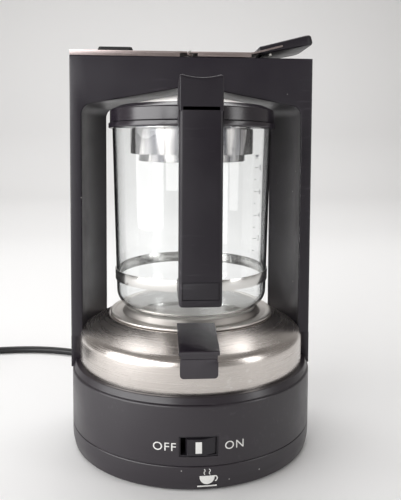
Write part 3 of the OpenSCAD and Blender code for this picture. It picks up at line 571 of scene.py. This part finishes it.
def make_glass():
    """Blown glass, with the faintest waviness of its wall."""
    material, tree, shader = new_finish("jug_clear", IOR=1.47, Transmission_Weight=1.0, Roughness=0.0)
    shader.inputs["Base Color"].default_value = (0.975, 0.985, 0.985, 1)
    place = object_place(tree)
    wave = add_node(tree, "ShaderNodeTexNoise", Scale=24.0, Detail=1.0)
    wire(tree, place, wave.inputs["Vector"])
    bump = add_node(tree, "ShaderNodeBump", Strength=0.10, Distance=0.0008)
    wire(tree, wave.outputs["Fac"], bump.inputs["Height"])
    wire(tree, bump.outputs["Normal"], shader.inputs["Normal"])
    return material


clear_glass = make_glass()
mains_lead.data.materials.append(lead_black)
print("finishes:", len(bpy.data.materials))

# %% [markdown]
# ## Making pieces
# Most of this machine was made on a lathe or pulled from a mould, so two
# helpers do the bulk of the work. One spins an outline round the upright
# axis. The other takes a clean copy of a imported node and rounds its edges
# with a Bevel modifier. Each finished piece hangs on the body of the node it
# stands for, and that node is hidden.

# %% Piece helpers


def finish_piece(piece, node, material, also=()):
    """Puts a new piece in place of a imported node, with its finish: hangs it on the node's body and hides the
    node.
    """
    piece.data.materials.clear()
    piece.data.materials.append(material)
    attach(piece, body_of_node[node])
    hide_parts(node, *also)
    return piece


def to_object(name, mesh_data):
    """Turns a bmesh into a linked object with outward faces."""
    bmesh.ops.remove_doubles(mesh_data, verts=mesh_data.verts, dist=1e-7)
    bmesh.ops.dissolve_degenerate(mesh_data, edges=mesh_data.edges, dist=1e-7)
    bmesh.ops.recalc_face_normals(mesh_data, faces=mesh_data.faces)
    mesh = bpy.data.meshes.new(name)
    mesh_data.to_mesh(mesh)
    mesh_data.free()
    piece = bpy.data.objects.new(name, mesh)
    bpy.context.scene.collection.objects.link(piece)
    return piece


def smooth(piece, sharp_degrees=35):
    """Smooth shading with creases kept above an angle."""
    piece.data.shade_smooth()
    piece.data.set_sharp_from_angle(angle=math.radians(sharp_degrees))


def round_edges(piece, width, segments=3, degrees=32, clamp=True):
    """A live Bevel that rounds every edge sharper than an angle."""
    bevel = piece.modifiers.new("rounded", "BEVEL")
    bevel.width = width
    bevel.segments = segments
    bevel.limit_method = "ANGLE"
    bevel.angle_limit = math.radians(degrees)
    bevel.harden_normals = True
    bevel.use_clamp_overlap = clamp
    piece.data.shade_smooth()


def softened(outline, steps=5):
    """Rounds the corners of an outline. Points are (r, z) or (r, z, corner radius), in mm."""
    result = []
    count = len(outline)
    for index, point in enumerate(outline):
        corner = Vector(point[:2])
        size = point[2] if len(point) > 2 else 0.0
        before = Vector(outline[index - 1][:2])
        after = Vector(outline[(index + 1) % count][:2])
        if not size:
            result.append(corner)
            continue
        start = corner + (before - corner).normalized() * size
        end = corner + (after - corner).normalized() * size
        for step in range(steps + 1):
            t = step / steps
            result.append((1 - t) ** 2 * start + 2 * t * (1 - t) * corner + t ** 2 * end)
    return result


def turned(name, outline, steps=180, closed=True):
    """Spins an outline, in millimetres, round the upright axis."""
    mesh = bmesh.new()
    points = [mesh.verts.new((p.x * MM, 0, p.y * MM)) for p in softened(outline)]
    pairs = list(zip(points, points[1:]))
    if closed:
        pairs.append((points[-1], points[0]))
    edges = [mesh.edges.new(pair) for pair in pairs]
    bmesh.ops.spin(mesh, geom=points + edges, cent=(0, 0, 0), axis=(0, 0, 1),
                   angle=2 * math.pi, steps=steps, use_merge=True)
    piece = to_object(name, mesh)
    smooth(piece)
    return piece


def clean_copy(name, node):
    """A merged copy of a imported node, with its flat faces whole again."""
    mesh = bmesh.new()
    mesh.from_mesh(frame["nodes"][node].data)
    bmesh.ops.remove_doubles(mesh, verts=mesh.verts, dist=2e-6)
    bmesh.ops.dissolve_limit(mesh, angle_limit=math.radians(0.5), verts=mesh.verts, edges=mesh.edges)
    return to_object(name, mesh)


def rounded_copies(*rows):
    """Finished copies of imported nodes. A row is node, piece name, material and bevel in mm."""
    made = []
    for node, name, material, width in rows:
        piece = clean_copy(name, node)
        round_edges(piece, width * MM)
        made.append(finish_piece(piece, node, material))
    print("rounded:", [piece.name for piece in made])
    return made


def cut_with(piece, cutter):
    """Takes one shape out of another and throws the cutter away."""
    step = piece.modifiers.new("cut", "BOOLEAN")
    step.object = cutter
    step.solver = "EXACT"
    bpy.context.view_layer.update()
    result = bpy.data.meshes.new_from_object(
        piece.evaluated_get(bpy.context.evaluated_depsgraph_get()))
    piece.modifiers.remove(step)
    piece.data = result
    bpy.data.objects.remove(cutter)


def block(name, low, high):
    """A plain box between two corners, in millimetres, used as a cutter."""
    mesh = bmesh.new()
    bmesh.ops.create_cube(mesh, size=1.0)
    size = Vector(high) - Vector(low)
    middle = (Vector(high) + Vector(low)) / 2
    bmesh.ops.scale(mesh, vec=size * MM, verts=mesh.verts)
    bmesh.ops.translate(mesh, vec=middle * MM, verts=mesh.verts)
    return to_object(name, mesh)


def drum(name, place, radius, height):
    """A plain upright cylinder, in millimetres, used as a cutter."""
    mesh = bmesh.new()
    bmesh.ops.create_cone(mesh, cap_ends=True, segments=96, radius1=radius * MM,
                          radius2=radius * MM, depth=height * MM)
    bmesh.ops.translate(mesh, vec=Vector(place) * MM, verts=mesh.verts)
    return to_object(name, mesh)


def size_of(node):
    """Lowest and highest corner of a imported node, in millimetres."""
    low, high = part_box(node)
    return low / MM, high / MM


# %% [markdown]
# ## Base
# The base is two black mouldings that meet in a fine seam. Both are round, so
# both are spun. The upper one ends in a rounded rim and a ledge that rises to
# the steel. The opening for the switch is cut afterwards, because a spun
# shape cannot have a hole on one side only.

# %% Lower ring and upper shell
ring_low, ring_high = size_of("base_ring")
shell_low, shell_high = size_of("base_shell")
base_r = ring_high.x
seam_z = shell_low.z
rim_z = seam_z + 40.3
wall = 2.5

base_ring = turned("lower_ring", [
    (base_r - 0.45, seam_z - 0.05, 0.25), (base_r, seam_z - 0.6, 0.4),
    (base_r, ring_low.z + 7, 3), (base_r - 1.6, ring_low.z, 1.2), (base_r - 19, ring_low.z, 0.4),
    (base_r - 19, ring_low.z + 1.8), (base_r - wall - 2, ring_low.z + 1.8),
    (base_r - wall - 2, seam_z + 3), (base_r - wall - 0.2, seam_z + 3), (base_r - wall - 0.2, seam_z - 0.05),
], steps=216)
finish_piece(base_ring, "base_ring", base_black)

base_shell = turned("upper_shell", [
    (base_r - 0.45, seam_z + 0.05, 0.25), (base_r, seam_z + 0.6, 0.4),
    (base_r, rim_z, 1.6), (base_r - 1.2, rim_z + 0.15, 0.5), (base_r - 2.6, shell_high.z, 0.5),
    (base_r - 6.1, shell_high.z), (base_r - 6.1, shell_high.z - 2), (base_r - wall, rim_z - 4),
    (base_r - wall, seam_z + 0.05),
], steps=216)
housing_low, housing_high = size_of("switch_housing")
cut_with(base_shell, block("switch_cut", (housing_low.x, -base_r - 5, housing_low.z),
                           (housing_high.x, -base_r + 18, housing_high.z)))
smooth(base_shell)
finish_piece(base_shell, "base_shell", base_black)
print("base radius", round(base_r, 2), "seam at", round(seam_z, 2))

# %% [markdown]
# ## Switch
# A rocker sits in a thin black frame. Its tilted copy keeps the imported shape,
# and a small bevel gives the ridge its soft highlight. The white flash on the
# rocker's rising face is a thin white tile.

# %% Switch pieces
rounded_copies(
    ("switch_housing", "switch_frame", inner_black, 0.35),
    ("switch_rocker", "rocker_key", inner_black, 0.45),
    ("rocker_mark", "rocker_flash", white_ink, 0.08))

# %% [markdown]
# ## Boiler and warming plate
# The boiler's cover is one spun sheet: a plain skirt, a soft break and a
# sloping shoulder. The warming plate above it has a rolled rim, a shallow
# trough and a raised middle on which the jug stands.

# %% Spun steel
cover_low, cover_high = size_of("boiler_shell")
plate_low, plate_high = size_of("warming_plate")
skirt_r = -cover_low.y
plate_r = plate_high.x
break_z = 85.0
shoulder_z = cover_high.z
boiler_cover = turned("boiler_cover", [
    (skirt_r, cover_low.z, 0.3), (skirt_r, break_z, 5.5), (64.5, shoulder_z, 0.8),
    (44, shoulder_z), (44, shoulder_z - 1), (64.2, shoulder_z - 1), (skirt_r - 1, break_z - 0.6, 3.2),
    (skirt_r - 1, cover_low.z),
], steps=240)
finish_piece(boiler_cover, "boiler_shell", boiler_steel)

plate_rim_z = 99.6
hot_plate = turned("hot_plate", [
    (0, plate_low.z), (plate_r - 3, plate_low.z, 0.3), (plate_r, plate_low.z + 0.2, 0.9),
    (plate_r, plate_rim_z, 0.9), (plate_r - 2.6, plate_rim_z, 0.6), (plate_r - 4.2, plate_rim_z - 1.1, 0.8),
    (plate_r - 9.4, plate_rim_z - 1.1, 0.8), (plate_r - 12.1, plate_high.z, 1.2), (0, plate_high.z),
], steps=216, closed=False)
finish_piece(hot_plate, "warming_plate", plate_steel)

# %% [markdown]
# ## Portal
# Seen from the front the portal is a flat black arch. Seen from above its
# columns are slices of a tube that hugs the jug. So the arch is drawn flat
# once and repeated backwards in short steps, and every ring of points is
# squeezed sideways onto the two round walls. The back stays open for a cover.
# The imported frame's inner ribs and bosses are left out.

# %% Flat arch
portal_low, portal_high = size_of("portal_frame")
cover_back_low, cover_back_high = size_of("portal_back_cover")
outer_r = portal_high.x
inner_r = 84.3
front_y = portal_low.y
back_y = portal_high.y
foot_z = portal_low.z
top_z = portal_high.z
ridge_z = 272.8
ceiling_fall = 0.19
corner_r = 8.0
depth_steps = 14


def wall_x(radius, y):
    """Half width of a round wall at a depth."""
    return math.sqrt(radius ** 2 - y ** 2)


def arch_outlines():
    """Matching outer and inner points of the arch's left half, from foot to ridge."""
    half = wall_x(inner_r, front_y)
    tilt = math.atan(ceiling_fall)
    centre_x = half - corner_r
    centre_z = ridge_z - ceiling_fall * centre_x - corner_r / math.cos(tilt)
    inner = [(half, foot_z + (centre_z - foot_z) * k / 8) for k in range(9)]
    arc_steps = 7
    inner += [(centre_x + corner_r * math.cos(a), centre_z + corner_r * math.sin(a))
              for a in (k / arc_steps * (math.pi / 2 - tilt) for k in range(1, arc_steps + 1))]
    last = inner[-1]
    inner += [(last[0] * (1 - k / 8), last[1] + (ridge_z - last[1]) * k / 8) for k in range(1, 9)]
    side = wall_x(outer_r, front_y)
    outer = [(side, z) for _, z in inner[:9]]
    outer += [(side, centre_z + (top_z - centre_z) * k / arc_steps) for k in range(1, arc_steps + 1)]
    outer += [(side * (1 - k / 8), top_z) for k in range(1, 9)]
    return outer, inner


def make_arch(depths, open_end=False):
    """The arch as one closed skin through the given depths, its walls bent onto the two radii."""
    outer, inner = arch_outlines()
    outer += [(-x, z) for x, z in reversed(outer[:-1])]
    inner += [(-x, z) for x, z in reversed(inner[:-1])]
    loop = outer + inner[::-1]
    is_outer = [True] * len(outer) + [False] * len(inner)
    mesh = bmesh.new()
    rings = []
    for y in depths:
        ring = []
        for (x, z), outside in zip(loop, is_outer):
            radius = outer_r if outside else inner_r
            squeeze = wall_x(radius, y) / wall_x(radius, front_y)
            ring.append(mesh.verts.new((x * squeeze * MM, y * MM, z * MM)))
        rings.append(ring)
    count = len(loop)
    for near, far in zip(rings, rings[1:]):
        for k in range(count):
            n = (k + 1) % count
            mesh.faces.new((near[k], near[n], far[n], far[k]))
    half = len(outer)
    for ring in (rings[0], rings[-1])[:1 if open_end else 2]:
        for k in range(half - 1):
            mesh.faces.new((ring[k], ring[k + 1], ring[count - 2 - k], ring[count - 1 - k]))
    bmesh.ops.recalc_face_normals(mesh, faces=mesh.faces)
    return mesh


# %% Portal shell and back cover
depths = [front_y + (back_y - front_y) * k / depth_steps for k in range(depth_steps + 1)]
arch_mesh = make_arch(depths, open_end=True)
front_rim = [e for e in arch_mesh.edges if e.is_manifold and e.calc_face_angle() > math.radians(40)
             and all(v.co.y < (front_y + 0.01) * MM and v.co.z > (foot_z + 0.01) * MM for v in e.verts)]
bmesh.ops.bevel(arch_mesh, geom=front_rim, offset=1.1 * MM, segments=3, affect="EDGES",
                profile=0.5, material=-1)
portal_arch = to_object("portal_arch", arch_mesh)
thickness = portal_arch.modifiers.new("wall", "SOLIDIFY")
thickness.thickness = 2 * MM
thickness.offset = -1
thickness.use_even_offset = True
port_low, port_high = size_of("fill_port")
port_middle = (port_low + port_high) / 2
cut_with(portal_arch, drum("port_cut", (port_middle.x, port_middle.y, top_z), 13.0, 9))
portal_arch.modifiers.clear()
smooth(portal_arch)
finish_piece(portal_arch, "portal_frame", portal_black)

cover_depths = [cover_back_low.y + 0.25, cover_back_high.y - 1, cover_back_high.y]
back_cover = to_object("portal_cover", make_arch(cover_depths))
smooth(back_cover)
finish_piece(back_cover, "portal_back_cover", portal_black)

# %% [markdown]
# ## Top plate and lever
# The top plate and the lever are folded from strip steel, with a knuckled
# hinge between them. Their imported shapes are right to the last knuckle, so
# clean copies with a hair of bevel are enough. The black grip is thicker and
# gets a generous radius.

# %% Plate, lever and grip
rounded_copies(
    ("top_plate", "folded_plate", strip_steel, 0.25),
    ("rest_pad", "lever_rest", rubber_black, 0.5),
    ("lever_strip", "lever_leaf", strip_steel, 0.2),
    ("lever_buffer", "lever_stop", rubber_black, 0.4),
    ("grip_rivets", "handle_rivets", fixing_steel, 0.15),
    ("catch_tab", "plate_catch", lid_black, 0.6))

# %% [markdown]
# ## Jug
# The glass is spun as one closed wall, inside and outside, because light
# bends at both faces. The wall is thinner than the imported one. A steel band
# clamps the handle at the bottom and a plastic collar holds it at the rim.
# The filter basket hangs in the mouth.

# %% Glass wall
glass_low, glass_high = size_of("jug_glass")
rim_r = glass_high.x
foot_r = 58.2
glass_t = 1.6
jug_z = glass_low.z
mouth_z = glass_high.z
shoulder = 13.0
corner_steps = 12


def glass_corner(radius, first, last):
    """Points of the rounded foot, about the corner's own centre."""
    turns = [first + (last - first) * k / corner_steps for k in range(corner_steps + 1)]
    return [(foot_r - shoulder + radius * math.cos(a), jug_z + shoulder + radius * math.sin(a))
            for a in turns]


glass_outline = [(0, jug_z + 1.6), (22, jug_z + 1.2), (38, jug_z + 0.1, 1.5)]
glass_outline += glass_corner(shoulder, -math.pi / 2, 0)
glass_outline += [(rim_r, mouth_z, 0.4 * glass_t), (rim_r - glass_t, mouth_z, 0.4 * glass_t)]
glass_outline += glass_corner(shoulder - glass_t, 0, -math.pi / 2)
glass_outline += [(38, jug_z + glass_t + 0.1, 1.5), (22, jug_z + glass_t + 1.2), (0, jug_z + glass_t + 1.6)]
glass_wall = turned("glass_wall", glass_outline, steps=192, closed=False)
glass_wall.data.shade_smooth()
finish_piece(glass_wall, "jug_glass", clear_glass)

# %% Band, collar and basket
rounded_copies(
    ("jug_band", "clamp_band", band_steel, 0.15),
    ("jug_collar", "rim_collar", lid_black, 0.25),
    ("handle_badge", "blank_badge", inner_black, 0.2),
    ("filter_basket", "brew_basket", basket_steel_painted_reflection, 0.2),
    ("lid_cone", "lid_cover", cone_steel, 0.15))

# %% [markdown]
# The handle is one thick moulding with well rounded corners. It is drawn from
# the side, pulled across its width and bevelled along every long edge. A
# shallow panel at its foot takes the blank badge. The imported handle's slot and
# screw hole are left out.

# %% Handle
grip_low, grip_high = size_of("jug_handle")
badge_low, badge_high = size_of("handle_badge")
grip_half = grip_high.x
lid_reach_back = 60.5
lid_seat_z = 253.0
grip_front = grip_low.y
grip_back = -86.0
collar_low, collar_high = size_of("jug_collar")
band_low, band_high = size_of("jug_band")
side_outline = [
    (-collar_high.x + 0.3, collar_high.z + 2.2), (-collar_high.x + 0.3, collar_low.z + 0.4),
    (grip_back, collar_low.z - 1.5, 6), (grip_back, grip_low.z + 13.5, 3),
    (-band_high.x - 0.4, grip_low.z + 10.5), (-band_high.x - 0.4, band_low.z + 0.6), (-74, band_low.z + 0.6),
    (grip_back, grip_low.z, 1.0), (grip_front, grip_low.z, 3.5), (grip_front, grip_high.z, 0.5),
    (-collar_high.x - 14, grip_high.z, 0.5),
]


def prism(places, way, edge=2.2):
    """Pulls a flat ring of places, in mm, along a way and rounds the rims of both ends."""
    mesh = bmesh.new()
    way = Vector(way)
    ring = [mesh.verts.new(Vector(place) * MM) for place in places]
    pulled = bmesh.ops.extrude_face_region(mesh, geom=[mesh.faces.new(ring)])["geom"]
    bmesh.ops.translate(mesh, vec=way * MM,
                        verts=[g for g in pulled if isinstance(g, bmesh.types.BMVert)])
    if len(mesh.faces) < len(ring) + 2:
        mesh.faces.new(ring)
    bmesh.ops.recalc_face_normals(mesh, faces=mesh.faces)
    rims = [e for e in mesh.edges
            if abs((e.verts[0].co - e.verts[1].co).dot(way.normalized())) < 1e-7]
    bmesh.ops.bevel(mesh, geom=rims, offset=edge * MM, segments=4, affect="EDGES", profile=0.5,
                    material=-1, clamp_overlap=False)
    return mesh


jug_grip = to_object("jug_grip", prism([(-grip_half, p.x, p.y) for p in softened(side_outline)],
                                       (2 * grip_half, 0, 0)))
cut_with(jug_grip, block("badge_cut", (badge_low.x - 0.3, grip_front - 1, badge_low.z - 0.3),
                         (badge_high.x + 0.3, grip_front + 0.7, badge_high.z + 0.3)))
smooth(jug_grip)
finish_piece(jug_grip, "jug_handle", handle_black)

# %% [markdown]
# The lid's thumb piece sits over the handle and is dished on top, so that a
# thumb finds it. Its front is one upright outline with a dip, pulled back
# over the lid, and its long edges are rounded more than the handle's.

# %% Thumb piece
thumb_low, thumb_high = size_of("lid_grip")
thumb_half = thumb_high.x
dip = 2.2
thumb_foot = thumb_low.z - 0.35
across = [(-thumb_half, thumb_foot)]
across += [(thumb_half * k / 8, thumb_high.z - dip * (1 - (k / 8) ** 2) - 0.9 * (abs(k) == 8))
           for k in range(-8, 9)]
across += [(thumb_half, thumb_foot)]
thumb_mesh = bmesh.new()
front_ring = [thumb_mesh.verts.new((x * MM, thumb_low.y * MM, z * MM)) for x, z in across]
thumb_mesh.faces.new(front_ring)
stations = [(thumb_low.y + 0.7, 0.35), (thumb_low.y + 2.2, 0.0), (-84, 0.0), (-76, 1.0), (-70, 6.6),
            (-lid_reach_back, 11.0)]
ring = front_ring
for vert in front_ring[1:-1]:
    vert.co.z -= 1.1 * MM
for y, drop in stations:
    next_ring = []
    for index, (x, z) in enumerate(across):
        foot = thumb_foot if y < -78 else lid_seat_z
        top = max(z - drop, foot + 0.6)
        next_ring.append(thumb_mesh.verts.new((x * MM, y * MM, (foot if index in (0, len(across) - 1)
                                                                 else top) * MM)))
    for k in range(len(across)):
        n = (k + 1) % len(across)
        thumb_mesh.faces.new((ring[k], ring[n], next_ring[n], next_ring[k]))
    ring = next_ring
thumb_mesh.faces.new(ring[::-1])
thumb_piece = to_object("lid_thumb_piece", thumb_mesh)
round_edges(thumb_piece, 0.9 * MM, segments=4, degrees=40, clamp=False)
finish_piece(thumb_piece, "lid_grip", handle_black)

# %% Lever handle
lever_low, lever_high = size_of("lever_grip")
handle_start = Vector((52, 0, 299.3)) * MM
handle_tilt = math.radians(14.5)
handle_long = 43.0
handle_thick = 8.0
plan = [(0, lever_low.y, 1.0), (handle_long, lever_low.y, 7), (handle_long, lever_high.y, 7),
        (0, lever_high.y, 1.0)]
taper_long = 6 * MM
slab = prism([(p.x, p.y, -handle_thick / 2) for p in softened(plan, 8)], (0, 0, handle_thick))
for vert in slab.verts:
    if vert.co.x < taper_long and vert.co.z < 0:
        vert.co.z *= 0.35 + 0.65 * vert.co.x / taper_long
bmesh.ops.rotate(slab, cent=(0, 0, 0), matrix=Matrix.Rotation(-handle_tilt, 3, "Y"), verts=slab.verts)
bmesh.ops.translate(slab, vec=handle_start, verts=slab.verts)
lever_handle = to_object("lever_handle", slab)
smooth(lever_handle, 50)
finish_piece(lever_handle, "lever_grip", handle_black)

# %% Lid ring
lid_low, lid_high = size_of("lid_ring")
lid_r = lid_high.x
lid_ring = turned("lid_rim", [
    (lid_r - 5, lid_low.z), (lid_r, lid_low.z, 0.4), (lid_r, lid_high.z - 3.2, 1.2),
    (56.5, lid_high.z, 0.6), (55.3, lid_high.z), (55.3, lid_high.z - 2.4), (52.2, lid_high.z - 2.4),
    (52.2, lid_high.z - 4), (lid_r - 5, lid_high.z - 6),
], steps=192)
finish_piece(lid_ring, "lid_ring", lid_black)

# %% [markdown]
# ## Printed marks
# The words by the switch, the cup on the base and the scale on the glass are
# pad printed. Each is drawn flat as a very thin solid and then wrapped round
# the cylinder it sits on, so the ink follows the curve.

# %% Wrapping print


def wrapped(piece, turn_degrees, height, radius_at, lift=0.03):
    """Bends a flat print, drawn in x and y in metres, onto a round wall."""
    for vert in piece.data.vertices:
        z = height * MM + vert.co.y
        radius = radius_at(z / MM) * MM
        angle = math.radians(turn_degrees) + vert.co.x / radius
        out = radius + lift * MM + vert.co.z
        vert.co = (out * math.cos(angle), out * math.sin(angle), z)
    piece.data.update()
    return piece


def words(name, text, tall, spacing=1.0, stretch=1.0):
    """Plain lettering as a thin solid, centred on its own middle."""
    curve = bpy.data.curves.new(name, "FONT")
    curve.body = text
    curve.size = tall * MM / 0.7
    curve.space_character = spacing
    curve.extrude = 0.02 * MM
    curve.resolution_u = 4
    pen = bpy.data.objects.new(name, curve)
    bpy.context.scene.collection.objects.link(pen)
    bpy.context.view_layer.update()
    mesh = bpy.data.meshes.new_from_object(pen.evaluated_get(bpy.context.evaluated_depsgraph_get()))
    bpy.data.objects.remove(pen)
    low = [min(v.co[i] for v in mesh.vertices) for i in (0, 1)]
    high = [max(v.co[i] for v in mesh.vertices) for i in (0, 1)]
    for vert in mesh.vertices:
        vert.co.x = (vert.co.x - (low[0] + high[0]) / 2) * stretch
        vert.co.y -= (low[1] + high[1]) / 2
    piece = bpy.data.objects.new(name, mesh)
    bpy.context.scene.collection.objects.link(piece)
    return piece


def bar(mesh, middle, size):
    """Adds a thin flat bar, in millimetres, to a print, in short lengths so it can bend."""
    made = bmesh.ops.create_grid(mesh, x_segments=4, y_segments=1, size=0.5)["verts"]
    bmesh.ops.scale(mesh, vec=(size[0] * MM, size[1] * MM, 1), verts=made)
    bmesh.ops.translate(mesh, vec=(middle[0] * MM, middle[1] * MM, 0), verts=made)


def curl(mesh, middle, inner, outer, first, last, steps=16):
    """Adds part of a flat ring, in millimetres and degrees. An inner radius of 0 makes a sector."""
    rows = []
    for k in range(steps + 1):
        angle = math.radians(first + (last - first) * k / steps)
        way = Vector((math.cos(angle), math.sin(angle)))
        rows.append([mesh.verts.new(((middle[0] + way.x * r) * MM, (middle[1] + way.y * r) * MM, 0))
                     for r in (inner, outer)])
    for a, b in zip(rows, rows[1:]):
        mesh.faces.new((a[0], a[1], b[1], b[0]))


def print_piece(name, mesh):
    """Gives flat print shapes a hair of thickness and makes them one object."""
    bmesh.ops.recalc_face_normals(mesh, faces=mesh.faces)
    bmesh.ops.solidify(mesh, geom=mesh.faces[:], thickness=0.03 * MM)
    return to_object(name, mesh)


def finish_print(piece, body, material):
    """Registers a print on its body."""
    piece.data.materials.clear()
    piece.data.materials.append(material)
    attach(piece, body)


# %% Words by the switch
def base_wall(z):
    """Radius of the base's outer wall, the same at every height z."""
    return base_r


for name, text, sideways in (("word_off", "OFF", -22.5), ("word_on", "ON", 24.0)):
    place = -90 + math.degrees(sideways / base_r)
    finish_print(wrapped(words(name, text, 5.4, 1.12, 1.1), place, 30.6, base_wall), "root", white_ink)

# %% Cup on the lower ring
cup = bmesh.new()
curl(cup, (0, 1.6), 0.05, 5.0, 180, 360)
bar(cup, (0, 1.9), (10.0, 0.6))
curl(cup, (5.0, 0.2), 1.3, 2.1, -80, 90)
bar(cup, (0, -4.6), (13.0, 0.8))
for side in (-1.7, 1.7):
    curl(cup, (side + 0.7, 4.1), 0.8, 1.3, 110, 250)
    curl(cup, (side - 0.7, 5.6), 0.8, 1.3, -70, 70)
finish_print(wrapped(print_piece("cup_mark", cup), -86.5, 9.2, base_wall), "root", white_ink)

# %% Scale on the glass


def glass_at(z):
    """Outer radius of the glass wall."""
    return foot_r + (rim_r - foot_r) * (z - jug_z - shoulder) / (mouth_z - jug_z - shoulder)


scale_turn = -43
tick_heights = [211.0, 202.3, 193.7, 185.0, 176.2, 167.8, 159.4, 150.8]
ticks = bmesh.new()
for index, height in enumerate(tick_heights):
    bar(ticks, (-1.2 if index % 2 else 0, height - 180), (2.2 if index % 2 else 4.6, 0.35))
finish_print(wrapped(print_piece("scale_ticks", ticks), scale_turn, 180, glass_at), "jug", grey_ink)
for count, height in zip((8, 6, 4, 2), tick_heights[::2]):
    numeral = words("scale_" + str(count), str(count), 3.8)
    turn = scale_turn + math.degrees(5.2 / glass_at(height))
    finish_print(wrapped(numeral, turn, height, glass_at), "jug", grey_ink)
small_cup = bmesh.new()
curl(small_cup, (0, 0.6), 0.05, 1.9, 180, 360)
curl(small_cup, (1.9, 0.1), 0.5, 0.8, -80, 90)
bar(small_cup, (0, -1.8), (4.6, 0.35))
finish_print(wrapped(print_piece("scale_cup", small_cup), scale_turn, 219.5, glass_at), "jug", grey_ink)

# %% [markdown]
# ## The lead's fittings, and what is inside
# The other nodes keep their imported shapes. Each takes the finish that the
# real piece has, also those that only show when something is taken apart.

# %% Finishes for the carried-over nodes
fittings = rounded_copies(
    ("strain_relief", "lead_sleeve", lead_black, 0.3),
    ("plug_body", "plug_moulding", lead_black, 1.5),
    ("cord_tie", "lead_tie", tie_plastic, 0.2))

finish_of = {
    "rubber_feet": rubber_black, "base_plate": fixing_steel, "base_screws": fixing_steel,
    "vessel_pillars": fixing_steel, "boiler_vessel": cast_alloy, "vessel_gasket": rubber_black,
    "heating_element": heater_sheath, "element_clamps": fixing_steel, "thermostat": fired_ceramic,
    "thermal_fuse": fired_ceramic, "portal_screws": fixing_steel, "riser_tube": band_steel,
    "brew_outlet": inner_black, "fill_port": inner_black, "fill_duct": inner_black,
    "hinge_pin": fixing_steel, "seal_plug": rubber_black, "terminal_block": fired_ceramic,
    "plug_pins": nickel, "catch_bracket": fixing_steel, "catch_pin": fixing_steel,
    "band_screw": fixing_steel, "filter_screen": basket_steel_painted_reflection, "lid_seal": rubber_black,
}
for node, material in finish_of.items():
    mesh = frame["nodes"][node].data
    for index in range(len(mesh.materials)):
        mesh.materials[index] = material
print("kept nodes:", len(finish_of))
